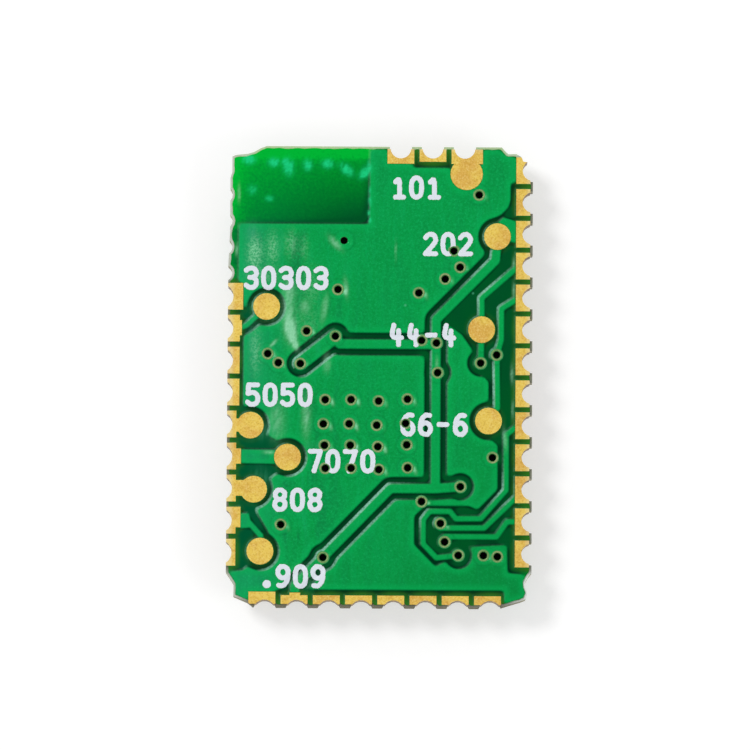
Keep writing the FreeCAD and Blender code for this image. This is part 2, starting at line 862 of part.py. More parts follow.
def marked_square():
    """Ground pad of the chip with its solder; one cut corner marks the first lead."""
    half = size("chip_pad_side") / 2
    notch = size("chip_corner_cut")
    x, y = chip_centre
    corners = [
        (x - half + notch, y + half),
        (x + half, y + half),
        (x + half, y - half),
        (x - half, y - half),
        (x - half, y + half - notch),
    ]
    rise = size("lead_thickness") + size("land_thickness")
    return polygon(corners, board_level - rise, rise)


chip_leads = group("radio_chip_leads", leads)
chip_pad = feature("radio_chip_ground_pad", marked_square())
chip_block = box(
    "chip_block", "sizes.chip_side", "sizes.chip_side", "sizes.chip_height", CHIP_X, CHIP_Y, "0"
)
chip_frame = group("chip_frame", [chip_leads, chip_pad])
chip_package = doc.addObject("Part::Cut", "radio_chip_package")
chip_package.Base = chip_block
chip_package.Tool = chip_frame
chip_package.Label = "radio_chip_package"

# Ceramic antenna in the corner without copper

ANTENNA_X = "(-sizes.board_width / 2 + 2.95)"
ANTENNA_Y = "(sizes.board_length / 2 - 1.65)"
ANTENNA_LEVEL = "sizes.chip_height - sizes.antenna_height"
CORE = "(sizes.antenna_length - 2 * sizes.antenna_cap)"
antenna_block = box(
    "antenna_block",
    CORE,
    "sizes.antenna_width",
    "sizes.antenna_height",
    ANTENNA_X,
    ANTENNA_Y,
    ANTENNA_LEVEL,
)
lands = []
antenna_ends = []
for end, sign in (("left", "-"), ("right", "+")):
    antenna_ends.append(
        box(
            f"antenna_cap_{end}",
            "sizes.antenna_cap",
            "sizes.antenna_width",
            "sizes.antenna_height",
            f"{ANTENNA_X} {sign} (sizes.antenna_length - sizes.antenna_cap) / 2",
            ANTENNA_Y,
            ANTENNA_LEVEL,
        )
    )
    lands.append(
        box(
            f"antenna_land_{end}",
            "sizes.antenna_cap",
            "sizes.antenna_width",
            "sizes.land_thickness",
            f"{ANTENNA_X} {sign} (sizes.antenna_length - sizes.antenna_cap) / 2",
            ANTENNA_Y,
            "sizes.chip_height",
        )
    )
antenna_terminals = group("antenna_terminals", antenna_ends)


# Crystals: a ceramic tub soldered to the board and a metal lid on its other face


def crystal(name, across, along, height, x, y, corner_land):
    """Ceramic base and metal lid, with a land under each corner."""
    base = box(
        f"{name}_base",
        across,
        along,
        f"({height} - sizes.crystal_lid)",
        x,
        y,
        f"sizes.chip_height - {height} + sizes.crystal_lid",
    )
    lid = box(
        f"{name}_lid",
        f"({across} - 2 * sizes.lid_margin)",
        f"({along} - 2 * sizes.lid_margin)",
        "sizes.crystal_lid",
        x,
        y,
        f"sizes.chip_height - {height}",
    )
    for column in ("-", "+"):
        for row_sign in ("-", "+"):
            lands.append(
                box(
                    f"{name}_land_{len(lands)}",
                    corner_land[0],
                    corner_land[1],
                    "sizes.land_thickness",
                    f"{x} {column} ({across} - {corner_land[0]}) / 2",
                    f"{y} {row_sign} ({along} - {corner_land[1]}) / 2",
                    "sizes.chip_height",
                )
            )
    return base, lid


MAIN_X = f"({CHIP_RIGHT} + sizes.crystal_gap + sizes.crystal_width / 2)"
MAIN_Y = f"({CHIP_Y} + 0.94)"
main_base, main_lid = crystal(
    "main_crystal",
    "sizes.crystal_width",
    "sizes.crystal_length",
    "sizes.crystal_height",
    MAIN_X,
    MAIN_Y,
    ("sizes.crystal_land_width", "sizes.crystal_land_length"),
)
watch_base, watch_lid = crystal(
    "clock_crystal",
    "sizes.watch_crystal_width",
    "sizes.watch_crystal_length",
    "sizes.watch_crystal_height",
    f"({CHIP_LEFT} - sizes.crystal_gap - sizes.watch_crystal_width / 2)",
    f"({CHIP_LOW} - 1.36)",
    ("sizes.watch_land_width", "sizes.watch_land_length"),
)

# Balun: ceramic block with three terminals on each long side

BALUN_X = "(-1.60)"
BALUN_Y = "(sizes.board_length / 2 - 5.55)"
BALUN_LEVEL = "sizes.chip_height - sizes.balun_height"
balun_body = box(
    "balun_body",
    "sizes.balun_length",
    "(sizes.balun_width - 2 * sizes.balun_plating)",
    "sizes.balun_height",
    BALUN_X,
    BALUN_Y,
    BALUN_LEVEL,
)
balun_ends = []
for sign in ("-", "+"):
    for step in (-1, 0, 1):
        terminal_x = f"{BALUN_X} + {step} * (sizes.balun_length - sizes.balun_terminal) / 2"
        terminal_y = f"{BALUN_Y} {sign} (sizes.balun_width - sizes.balun_plating) / 2"
        for kind, reach, level, height, made in (
            ("end", "sizes.balun_plating", BALUN_LEVEL, "sizes.balun_height", balun_ends),
            ("land", "sizes.balun_land", "sizes.chip_height", "sizes.land_thickness", lands),
        ):
            made.append(
                box(
                    f"balun_{kind}_{len(made)}",
                    "sizes.balun_terminal",
                    reach,
                    height,
                    terminal_x,
                    terminal_y,
                    level,
                )
            )
balun_terminals = group("balun_terminals", balun_ends)


# Small parts with a metal cap on each end


def small_part(name, height, x, y, upright, bodies, caps, fillets):
    """Body, two end caps with the solder under them, and two fillets of one small part."""
    across, along = "sizes.chip_part_width", "sizes.chip_part_length"
    cap_height = f"({height} + sizes.land_thickness)"
    core = f"({along} - 2 * sizes.chip_part_cap)"
    level = f"sizes.chip_height - {height}"
    plan = (across, core) if upright else (core, across)
    bodies.append(box(f"{name}_body", *plan, height, x, y, level))
    shift = f"({along} - sizes.chip_part_cap) / 2"
    for end, sign in enumerate(("-", "+")):
        place = (x, f"{y} {sign} {shift}") if upright else (f"{x} {sign} {shift}", y)
        plan = (across, "sizes.chip_part_cap") if upright else ("sizes.chip_part_cap", across)
        caps.append(box(f"{name}_cap_{end}", *plan, cap_height, *place, level))
        fillets.append(fillet(x, y, upright, -1 if sign == "-" else 1))


def fillet(x, y, upright, direction):
    """Wedge of solder between a metal cap and the board."""
    end = size("chip_part_length") / 2
    reach = size("fillet_reach")
    half = size("chip_part_width") / 2
    centre = Vector(sheet.evalExpression(x), sheet.evalExpression(y), 0)
    profile = [(end, board_level), (end + reach, board_level), (end, board_level - reach)]
    corners = []
    for out, level in profile:
        shift = direction * out
        corner = Vector(-half, shift, level) if upright else Vector(shift, -half, level)
        corners.append(centre + corner)
    face = Part.Face(Part.makePolygon(corners + corners[:1]))
    return face.extrude(Vector(2 * half, 0, 0) if upright else Vector(0, 2 * half, 0))


CRYSTAL_HIGH = f"({MAIN_Y} + sizes.crystal_length / 2)"
BALUN_LEFT = f"({BALUN_X} - sizes.balun_length / 2)"
BALUN_RIGHT = f"({BALUN_X} + sizes.balun_length / 2)"
# Middle of each part and whether it stands along Y, row by row round its larger neighbour
SMALL_PARTS = {
    "capacitor": (
        "sizes.capacitor_height",
        [
            (f"{CHIP_X} - 2.36", f"{CHIP_HIGH} + 0.84", False),
            (f"{CHIP_X} - 0.81", f"{CHIP_HIGH} + 0.84", False),
            (f"{CHIP_X} + 0.74", f"{CHIP_HIGH} + 0.84", False),
            (f"{CHIP_X} + 2.29", f"{CHIP_HIGH} + 0.84", False),
            (f"{MAIN_X} - 0.80", f"{CRYSTAL_HIGH} + 1.60", True),
            (f"{MAIN_X} + 0.60", f"{CRYSTAL_HIGH} + 1.60", True),
            (f"{CHIP_LEFT} - 0.88", f"{CHIP_Y} + 1.44", True),
            (f"{CHIP_LEFT} - 0.88", f"{CHIP_Y} - 0.56", True),
            (f"{CHIP_X} - 1.36", f"{CHIP_LOW} - 0.91", False),
            (f"{CHIP_X} + 0.24", f"{CHIP_LOW} - 0.91", False),
            (f"{CHIP_X} + 1.84", f"{CHIP_LOW} - 0.91", False),
        ],
    ),
    "coil": (
        "sizes.coil_height",
        [
            (f"{BALUN_RIGHT} + 0.50", f"{BALUN_Y} + 1.60", True),
            (f"{BALUN_RIGHT} + 1.20", BALUN_Y, False),
            (f"{BALUN_LEFT} - 1.00", BALUN_Y, False),
        ],
    ),
    "resistor": (
        "sizes.resistor_height",
        [
            (f"{CHIP_RIGHT} + 0.96", f"{CHIP_Y} - 2.06", False),
            (f"{CHIP_RIGHT} + 0.96", f"{CHIP_Y} - 3.26", False),
            (f"{CHIP_RIGHT} + 0.96", f"{CHIP_Y} - 4.46", False),
        ],
    ),
}

small_nodes = []
fillets = []
for kind, (height, spots) in SMALL_PARTS.items():
    bodies = []
    caps = []
    for index, (x, y, upright) in enumerate(spots):
        small_part(f"{kind}_{index}", height, f"({x})", f"({y})", upright, bodies, caps, fillets)
    small_nodes.append(group(f"{kind}_bodies", bodies))
    small_nodes.append(group(f"{kind}_terminals", caps))

component_lands = group("component_lands", lands)
solder_fillets = feature("solder_fillets", Part.makeCompound(fillets))

NODES = [
    laminate,
    upper_ground,
    lower_ground,
    *traces,
    *castellations,
    test_pads,
    chip_package,
    chip_leads,
    chip_pad,
    antenna_block,
    antenna_terminals,
    main_base,
    main_lid,
    watch_base,
    watch_lid,
    balun_body,
    balun_terminals,
    *small_nodes,
    component_lands,
    solder_fillets,
]

doc.recompute()

for item in doc.Objects:
    if "Invalid" in item.State or "Error" in item.State:
        raise RuntimeError(f"{item.Label} did not build: {item.State}")
for item in NODES:
    if item.Shape.isNull() or not item.Shape.isValid():
        raise RuntimeError(f"{item.Label} has no valid shape")

os.makedirs("parts", exist_ok=True)
for item in NODES:
    item.Shape.exportStep(f"parts/{item.Label}.step")
    print(item.Label, len(item.Shape.Solids), round(item.Shape.Volume, 4))
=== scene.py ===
"""Dresses the castellated radio module: solder mask, printed numbers, vias, metals and ceramics.

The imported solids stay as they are. Thin films are laid over them and every surface gets its
material. Shapes are given in millimetres. Places in the shaders and on the stage are in metres.
"""

import math

import bpy
import numpy as np
from bpy.props import FloatProperty, FloatVectorProperty, PointerProperty
from mathutils import Matrix, Vector


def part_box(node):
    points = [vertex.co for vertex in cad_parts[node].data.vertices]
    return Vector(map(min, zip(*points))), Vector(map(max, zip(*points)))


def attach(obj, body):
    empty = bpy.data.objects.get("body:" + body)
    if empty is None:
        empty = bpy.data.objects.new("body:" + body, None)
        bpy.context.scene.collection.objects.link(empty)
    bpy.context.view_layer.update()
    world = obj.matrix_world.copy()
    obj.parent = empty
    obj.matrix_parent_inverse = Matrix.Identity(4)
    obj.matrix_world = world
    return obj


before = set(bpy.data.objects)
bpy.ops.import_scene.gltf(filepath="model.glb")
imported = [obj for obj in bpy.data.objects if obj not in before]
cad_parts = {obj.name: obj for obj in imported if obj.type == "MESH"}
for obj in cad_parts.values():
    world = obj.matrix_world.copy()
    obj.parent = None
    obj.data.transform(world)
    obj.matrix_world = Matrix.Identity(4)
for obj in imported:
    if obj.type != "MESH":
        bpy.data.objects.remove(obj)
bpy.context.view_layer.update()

bl_info = {
    "name": "Radio module dressing",
    "version": (1, 0, 0),
    "blender": (4, 5, 0),
    "location": "3D View > Sidebar > Module",
    "description": "Films, print, vias and materials of a castellated radio module",
    "category": "Object",
}

MM = 0.001
WHITE = (1.0, 1.0, 1.0)

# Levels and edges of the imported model, in millimetres
BOARD_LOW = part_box("laminate_board")[0].z / MM
BOARD_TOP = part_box("laminate_board")[1].z / MM
COPPER_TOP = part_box("upper_ground_pour")[1].z / MM
PAD_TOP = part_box("test_pads")[1].z / MM
LEFT, BOTTOM = (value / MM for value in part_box("laminate_board")[0][:2])
RIGHT, TOP = (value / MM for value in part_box("laminate_board")[1][:2])

PAD_NODES = [
    "castellations_right",
    "castellations_left",
    "castellations_bottom",
    "castellations_top",
    "test_pads",
]
UNDER_NODES = [
    "component_lands",
    "solder_fillets",
    "radio_chip_leads",
    "radio_chip_ground_pad",
    *PAD_NODES[:4],
]
COPPER_NODES = [
    "upper_ground_pour",
    "lower_ground_pour",
    "supply_trace",
    "reset_trace",
    "data_trace",
    "clock_trace",
    "upper_probe_trace",
    "lower_probe_trace",
    "outer_signal_trace",
    "middle_signal_trace",
    "inner_signal_trace",
]


# Settings a user would change


class MaskSettings(bpy.types.PropertyGroup):
    """Solder mask over the pad side and the part side, with sizes in millimetres."""

    pitch: FloatProperty(name="Grid pitch", description="Grid of the mask", default=0.05)
    under_pitch: FloatProperty(
        name="Part side grid pitch", description="Grid of the mask on the part side", default=0.09
    )
    film: FloatProperty(
        name="Film on laminate", description="Thickness over bare laminate", default=0.020
    )
    film_on_copper: FloatProperty(
        name="Film on copper", description="Thickness over copper", default=0.012
    )
    shoulder: FloatProperty(
        name="Shoulder", description="Width of the slope over a copper edge", default=0.10
    )
    edge_inset: FloatProperty(
        name="Edge inset", description="Bare laminate along the board's edge", default=0.09
    )
    via_opening: FloatProperty(
        name="Via opening", description="Radius left open round a via", default=0.235
    )
    over_copper: FloatVectorProperty(
        name="Over copper",
        description="Mask over copper",
        subtype="COLOR",
        size=3,
        default=(0.001, 0.345, 0.062),
    )
    over_laminate: FloatVectorProperty(
        name="Over laminate",
        description="Mask over bare laminate",
        subtype="COLOR",
        size=3,
        default=(0.0, 0.088, 0.017),
    )
    # Painted shade: the mask is darker in narrow channels between two copper edges
    in_channels: FloatVectorProperty(
        name="In narrow channels",
        description="Mask between two edges of copper",
        subtype="COLOR",
        size=3,
        default=(0.0, 0.024, 0.009),
    )
    lit_laminate: FloatVectorProperty(
        name="Laminate lit from its edge",
        description="Bare corner where light comes in",
        subtype="COLOR",
        size=3,
        default=(0.0, 0.47, 0.035),
    )
    # Painted highlight on the slopes of the mask that face the upper left, towards the left
    # softbox
    slope_highlight: FloatVectorProperty(
        name="Deposit on a slope",
        description="Pale deposit along copper edges",
        subtype="COLOR",
        size=3,
        default=(0.26, 0.56, 0.42),
    )
    # Colour of the flux streaks and of the painted highlights that share their mark
    residue_and_glint: FloatVectorProperty(
        name="Flux residue",
        description="Dried streaks and drops",
        subtype="COLOR",
        size=3,
        default=(0.30, 0.70, 0.42),
    )


class PrintSettings(bpy.types.PropertyGroup):
    """Printed numbers beside the probe pads, with sizes in millimetres."""

    pitch: FloatProperty(name="Grid pitch", description="Grid of the ink film", default=0.016)
    stroke: FloatProperty(name="Stroke", description="Width of a stroke", default=0.195)
    height: FloatProperty(name="Height", description="Height of a number", default=0.97)
    advance: FloatProperty(name="Advance", description="From digit to digit", default=0.69)
    width: FloatProperty(name="Width", description="Width of a digit", default=0.60)
    thickness: FloatProperty(name="Thickness", description="Ink over the mask", default=0.012)
    ink: FloatVectorProperty(
        name="Ink",
        description="Colour of the print",
        subtype="COLOR",
        size=3,
        default=(0.74, 0.79, 0.86),
    )


class MetalSettings(bpy.types.PropertyGroup):
    """Gold, tin and the lands of the vias."""

    gold: FloatVectorProperty(
        name="Gold",
        description="Colour of the open pads",
        subtype="COLOR",
        size=3,
        default=(1.0, 0.71, 0.115),
    )
    tin: FloatVectorProperty(
        name="Tin",
        description="Colour of solder and terminals",
        subtype="COLOR",
        size=3,
        default=(0.60, 0.60, 0.59),
    )
    ring: FloatVectorProperty(
        name="Via ring",
        description="Colour of the via lands",
        subtype="COLOR",
        size=3,
        default=(0.34, 0.43, 0.17),
    )


class StageSettings(bpy.types.PropertyGroup):
    """Camera, floor and lights."""

    view_width: FloatProperty(
        name="View width", description="Width of the picture", unit="LENGTH", default=0.02965
    )
    distance: FloatProperty(
        name="Camera distance", description="Lens to object", unit="LENGTH", default=0.30
    )
    elevation: FloatProperty(
        name="Elevation",
        description="Camera above the horizon",
        subtype="ANGLE",
        default=math.radians(84.0),
    )
    roll: FloatProperty(
        name="Roll", description="Turn of the camera", subtype="ANGLE", default=math.radians(0.35)
    )
    floor: FloatVectorProperty(
        name="Floor",
        description="Colour of the floor",
        subtype="COLOR",
        size=3,
        default=(0.62, 0.62, 0.62),
    )
    key: FloatProperty(
        name="Key", description="Power of the left softbox", unit="POWER", default=0.62
    )
    surround: FloatProperty(
        name="Surround", description="Brightness of the surround at the sides", default=0.86
    )
    above: FloatProperty(
        name="Above", description="Brightness of the surround straight above", default=0.22
    )


# Plan of the copper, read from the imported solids


def face_edges(node, level):
    """Border of a node's flat faces at one level, as segments (n, 2, 2) in millimetres.

    A side used by only one triangle of the level belongs to the border.
    """
    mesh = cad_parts[node].data
    points = np.empty(len(mesh.vertices) * 3, np.float32)
    mesh.vertices.foreach_get("co", points)
    points = points.reshape(-1, 3).astype(float) / MM
    mesh.calc_loop_triangles()
    corners = np.empty(len(mesh.loop_triangles) * 3, np.int32)
    mesh.loop_triangles.foreach_get("vertices", corners)
    triangles = points[corners.reshape(-1, 3)]
    flat = np.all(np.abs(triangles[:, :, 2] - level) < 1e-3, axis=1)
    plan = triangles[flat][:, :, :2].reshape(-1, 2)
    places, index = np.unique(np.round(plan, 3), axis=0, return_inverse=True)
    index = index.reshape(-1, 3)
    sides = np.concatenate([index[:, [0, 1]], index[:, [1, 2]], index[:, [2, 0]]])
    sides = np.sort(sides, axis=1)
    unique, uses = np.unique(sides[sides[:, 0] != sides[:, 1]], axis=0, return_counts=True)
    return places[unique[uses == 1]]


def distance_to(xs, ys, segments, reach, signed=True, band=8):
    """Distance from each grid point to the nearest segment, as an array (ys, xs).

    Counted positive inside the outline when signed, by the crossings of a ray along X,
    and never larger than reach. The grid is worked through in bands of rows, and each band
    looks only at the segments near it.
    """
    result = np.full((len(ys), len(xs)), reach, float)
    inside = np.zeros((len(ys), len(xs)), bool)
    for rows in np.array_split(np.arange(len(ys)), max(1, len(ys) // band)):
        low = segments[:, :, 1].min(axis=1)
        high = segments[:, :, 1].max(axis=1)
        near = (low <= ys[rows[-1]] + reach) & (high >= ys[rows[0]] - reach)
        if not near.any():
            continue
        start = segments[near][:, 0]
        run = segments[near][:, 1] - start
        dx = xs[None, :, None] - start[:, 0]
        dy = ys[rows][:, None, None] - start[:, 1]
        along = np.clip((dx * run[:, 0] + dy * run[:, 1]) / (run**2).sum(axis=1), 0, 1)
        gap = np.hypot(dx - along * run[:, 0], dy - along * run[:, 1])
        result[rows] = np.minimum(gap.min(axis=2), reach)
        if signed:
            ends_above = (start[:, 1] + run[:, 1]) > ys[rows][:, None, None]
            starts_above = start[:, 1] > ys[rows][:, None, None]
            slope = run[:, 0] / np.where(run[:, 1] == 0, 1, run[:, 1])
            crossed = (starts_above != ends_above) & (dx < dy * slope)
            inside[rows] = crossed.sum(axis=2) % 2 == 1
    return np.where(inside, result, -result) if signed else result


def bores(rounds=12, fewest_points=7, widest_radius=0.2):
    """Middles of the vias: the small closed loops in the border of the laminate's upper face.

    Each end of a segment takes the lowest label of its neighbours until every loop has one.
    """
    segments = face_edges("laminate_board", BOARD_TOP)
    places, index = np.unique(segments.reshape(-1, 2), axis=0, return_inverse=True)
    index = index.reshape(-1, 2)
    labels = np.arange(len(places))
    for _ in range(rounds):
        lowest = labels[index].min(axis=1)
        np.minimum.at(labels, index[:, 0], lowest)
        np.minimum.at(labels, index[:, 1], lowest)
    found, inverse, count = np.unique(labels, return_inverse=True, return_counts=True)
    middle = np.stack(
        [np.bincount(inverse, weights=places[:, axis]) / count for axis in (0, 1)], axis=1
    )
    spread = np.zeros(len(found))
    np.maximum.at(spread, inverse, np.hypot(*(places - middle[inverse]).T))
    return middle[(count >= fewest_points) & (spread < widest_radius)]


PAD_EDGES = [face_edges(node, PAD_TOP) for node in PAD_NODES]
COPPER_EDGES = [face_edges(node, COPPER_TOP) for node in COPPER_NODES]
BOARD_EDGES = face_edges("laminate_board", BOARD_TOP)
VIAS = bores()
# The board's outline is what lies further from the middle of a via than its bore does
BORE_REACH = 0.2
FROM_BORE = np.hypot(*(BOARD_EDGES.mean(axis=1)[:, None] - VIAS).transpose(2, 0, 1)).min(axis=1)
OUTER_EDGES = BOARD_EDGES[FROM_BORE > BORE_REACH]
# The bore whose ring is covered by the mask, how far round it that goes, and the mask's opening
COVERED_VIA = (LEFT + 4.58, TOP - 3.76)
COVERED_REACH = 0.4
COVERED_OPENING = 0.16
# Lower right corner of the field without copper
BARE_CORNER = (-0.43, TOP - 3.11)


def to_points(xs, ys, places, reach):
    """Distance from each grid point to the nearest of some places."""
    result = np.full((len(ys), len(xs)), reach, float)
    for x, y in places:
        columns = np.abs(xs - x) < reach
        rows = np.abs(ys - y) < reach
        gap = np.hypot(xs[columns][None, :] - x, ys[rows][:, None] - y)
        window = np.ix_(rows, columns)
        result[window] = np.minimum(result[window], gap)
    return result


def softened(field, pitch, width):
    """Field blurred by a bell curve of a width in millimetres, along Y and then along X."""
    cells = int(np.ceil(2.5 * width / pitch))
    offsets = np.arange(-cells, cells + 1)
    weights = np.exp(-((offsets * pitch / width) ** 2) / 2)
    weights /= weights.sum()
    for axis in (0, 1):
        margins = [(cells, cells) if axis == side else (0, 0) for side in (0, 1)]
        padded = np.pad(field, margins, "edge")
        length = field.shape[axis]
        field = sum(
            weight * np.take(padded, np.arange(start, start + length), axis=axis)
            for start, weight in enumerate(weights)
        )
    return field


def copper_distance(xs, ys, reach=0.35, pour_rounding=0.07, trace_rounding=0.03):
    """Distances to the edge of the copper, positive over copper: as etched, and as cut.

    Etching rounds the corners of the two broad fields more than those of the narrow traces.
    """
    pitch = xs[1] - xs[0]
    fields = [distance_to(xs, ys, edges, reach) for edges in COPPER_EDGES]
    pads = pad_distance(xs, ys, reach)
    pours = softened(np.maximum(fields[0], fields[1]), pitch, pour_rounding)
    traces = softened(np.max(fields[2:], axis=0), pitch, trace_rounding)
    etched = np.maximum(np.maximum(pours, traces), pads)
    return etched, np.maximum(np.max(fields, axis=0), pads)


def pad_distance(xs, ys, reach=0.25):
    """Distance to the edge of the open pads, positive over a pad."""
    return np.max([distance_to(xs, ys, edges, reach) for edges in PAD_EDGES], axis=0)


def ripple(xs, ys, size, seed, waves=8):
    """Smooth random field between about -1 and 1: waves of about one size in all directions."""
    random = np.random.default_rng(seed)
    angles = random.uniform(0, 2 * np.pi, waves)
    phases = random.uniform(0, 2 * np.pi, waves)
    total = np.zeros((len(ys), len(xs)))
    for angle, phase in zip(angles, phases):
        wave = 2 * np.pi / (size * random.uniform(0.7, 1.6))
        across = xs[None, :] * np.cos(angle) + ys[:, None] * np.sin(angle)
        total += np.sin(across * wave + phase)
    return total / (waves / 2)


def smooth_step(values):
    """Cubic step from 0 to 1."""
    values = np.clip(values, 0, 1)
    return values * values * (3 - 2 * values)


def bell(distance, width, power=2):
    """Bell curve: 1 at no distance, close to nothing beyond two widths."""
    return np.exp(-((distance / width) ** power))


def mask_level(xs, ys, settings):
    """Upper face of the mask: a smooth step from the laminate up to the copper.

    The step starts a shoulder's width before the copper's edge. Where the copper was cut
    sharper than the etched form, a thin film still stays over it. Round a via the film swells a
    little and then falls to the ring. Returns the level, the distance to the copper's edge and
    the distance to the opening of the nearest via.
    """
    thin, swell, fall, width = 0.006, 0.008, 0.010, 0.05
    copper, cut = copper_distance(xs, ys)
    low = BOARD_TOP + settings.film
    high = COPPER_TOP + settings.film_on_copper
    share = smooth_step(copper / (1.2 * settings.shoulder) + 0.85)
    level = low + (high - low) * share
    over_cut = low + (COPPER_TOP + thin - low) * smooth_step(cut / settings.shoulder + 1.1)
    level = np.maximum(level, over_cut)
    via = to_points(xs, ys, VIAS, 0.6) - settings.via_opening
    level += (swell * bell(via - 0.11, width) - fall * bell(np.clip(via, 0, None), width)) * share
    level += 0.0012 * ripple(xs, ys, 0.9, 3) * share + 0.0005 * ripple(xs, ys, 0.25, 4)
    return np.minimum(level, PAD_TOP), copper, via


# Meshes


def new_mesh(name, points, faces, material):
    """Smooth mesh object that rides on the board; points are in millimetres."""
    mesh = bpy.data.meshes.new(name)
    mesh.from_pydata((np.asarray(points, float) * MM).tolist(), [], faces)
    mesh.update()
    mesh.validate()
    mesh.polygons.foreach_set("use_smooth", np.full(len(mesh.polygons), True))
    mesh.materials.append(material)
    item = bpy.data.objects.new(name, mesh)
    bpy.context.scene.collection.objects.link(item)
    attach(item, "root")
    return item


def set_attribute(item, name, values):
    """One number per vertex, for the material to read."""
    layer = item.data.attributes.new(name, "FLOAT", "POINT")
    layer.data.foreach_set("value", np.asarray(values, np.float32))


def new_film(name, cut, marks, material):
    """Mesh object of a cut grid, with a mark on its vertices for each of the grid's channels."""
    points, faces, channels = cut
    item = new_mesh(name, points, faces, material)
    for mark, values in zip(marks, channels):
        set_attribute(item, mark, values)


def crossings(first, second, start, end, offset):
    """Points where a field passes zero between two neighbours, and their numbers on the grid."""
    share = start / (start - end)
    cut = (start > 0) != (end > 0)
    points = first + (second - first) * share[..., None]
    names = np.full(cut.shape, -1)
    names[cut] = offset + np.arange(cut.sum())
    return points[cut], names


def cell_polygons(field, corner_names, side_names):
    """Polygons of the positive part of each cell, and those of their sides that lie on the cut.

    A cell's case has one bit for each positive corner. Cells of one case share one walk round
    their corners and sides.
    """
    positive = [field[:-1, :-1] > 0, field[:-1, 1:] > 0, field[1:, 1:] > 0, field[1:, :-1] > 0]
    case = sum(inside.astype(int) << place for place, inside in enumerate(positive))
    faces = []
    rims = []
    for kind in range(1, 16):
        here = case == kind
        if not here.any():
            continue
        ring = []
        leaves = []
        for place in range(4):
            inside = bool(kind >> place & 1)
            follows = bool(kind >> ((place + 1) % 4) & 1)
            if inside:
                ring.append(corner_names[place][here])
            if inside != follows:
                if inside:
                    leaves.append(len(ring))
                ring.append(side_names[place][here])
        faces.append(np.stack(ring, axis=1))
        for place in leaves:
            rims.append(np.stack([ring[place], ring[(place + 1) % len(ring)]], axis=1))
    return faces, np.concatenate(rims)


def cut_grid(xs, ys, field, level, skirt, channels=()):
    """Height map over the part of a grid where a field is positive, with a skirt at its edge.

    Each cell keeps the polygon of its corners with a positive field and of the points where
    the field passes zero on its sides, found by linear interpolation. Along the cut edge, a
    wall runs down to the skirt's level. channels are more arrays on the grid that are carried
    over to the vertices. Returns points, faces and the channels.
    """
    # No point of the cut comes closer to a corner of the grid than a small share of a step
    least = 0.06 * (xs[1] - xs[0])
    field = np.where(np.abs(field) < least, least * np.where(field < 0, -1, 1), field)
    rows, columns = field.shape
    layers = [np.broadcast_to(xs[None, :], field.shape), np.broadcast_to(ys[:, None], field.shape)]
    layers += [level, *channels]
    stack = np.stack([np.asarray(layer, float) for layer in layers], axis=-1)
    number = np.arange(rows * columns).reshape(rows, columns)
    flat, flat_names = crossings(
        stack[:, :-1], stack[:, 1:], field[:, :-1], field[:, 1:], rows * columns
    )
    upright, upright_names = crossings(
        stack[:-1], stack[1:], field[:-1], field[1:], rows * columns + len(flat)
    )
    values = np.concatenate([stack.reshape(-1, stack.shape[-1]), flat, upright])
    corner_names = [number[:-1, :-1], number[:-1, 1:], number[1:, 1:], number[1:, :-1]]
    side_names = [flat_names[:-1], upright_names[:, 1:], flat_names[1:], upright_names[:, :-1]]
    faces, rims = cell_polygons(field, corner_names, side_names)

    edge, edge_index = np.unique(rims, return_inverse=True)
    edge_index = edge_index.reshape(-1, 2) + len(values)
    feet = values[edge].copy()
    feet[:, 2] = skirt
    values = np.concatenate([values, feet])
    walls = np.stack([rims[:, 1], rims[:, 0], edge_index[:, 0], edge_index[:, 1]], axis=1)
    faces.append(walls)

    used = np.zeros(len(values), bool)
    for group in faces:
        used[group] = True
    renumber = np.cumsum(used) - 1
    values = values[used]
    polygons = [face for group in faces for face in renumber[group].tolist()]
    return values[:, :3], polygons, values[:, 3:].T


def revolve(places, profile, sides):
    """Surfaces of revolution about vertical axes at many places, and each point's radius.

    profile holds (radius, level) pairs from the outer rim inwards; a radius of zero closes it.
    """
    radii, levels = np.array(profile).T
    angle = 2 * np.pi * np.arange(sides) / sides
    ring = np.stack([np.cos(angle), np.sin(angle)], axis=1)
    shape = np.concatenate(
        [radii[:, None, None] * ring, np.repeat(levels[:, None, None], sides, axis=1)], axis=2
    )
    places = np.asarray(places)
    lift = np.zeros((len(places), 1, 1, 3))
    lift[:, 0, 0, :2] = places
    points = (shape[None] + lift).reshape(-1, 3)
    step = np.arange(sides)
    after = (step + 1) % sides
    row = np.arange(len(profile) - 1)[:, None] * sides
    quads = np.stack([row + step, row + after, row + sides + after, row + sides + step], axis=-1)
    block = len(profile) * sides
    starts = block * np.arange(len(places))[:, None, None]
    faces = (quads.reshape(1, -1, 4) + starts).reshape(-1, 4).tolist()
    return points, faces, np.tile(np.repeat(radii, sides), len(places))


# Nodes

# Numbers of the sockets of a mix node that are used for colours
MIX_FACTOR, MIX_FIRST, MIX_SECOND, MIX_RESULT = 0, 6, 7, 2


def plug(tree, socket, value):
    """Joins a socket to another node's socket or sets its value; a colour has three parts."""
    if isinstance(value, bpy.types.NodeSocket):
        tree.links.new(value, socket)
    elif socket.type == "RGBA":
        socket.default_value = (*value, 1.0)
    else:
        socket.default_value = value


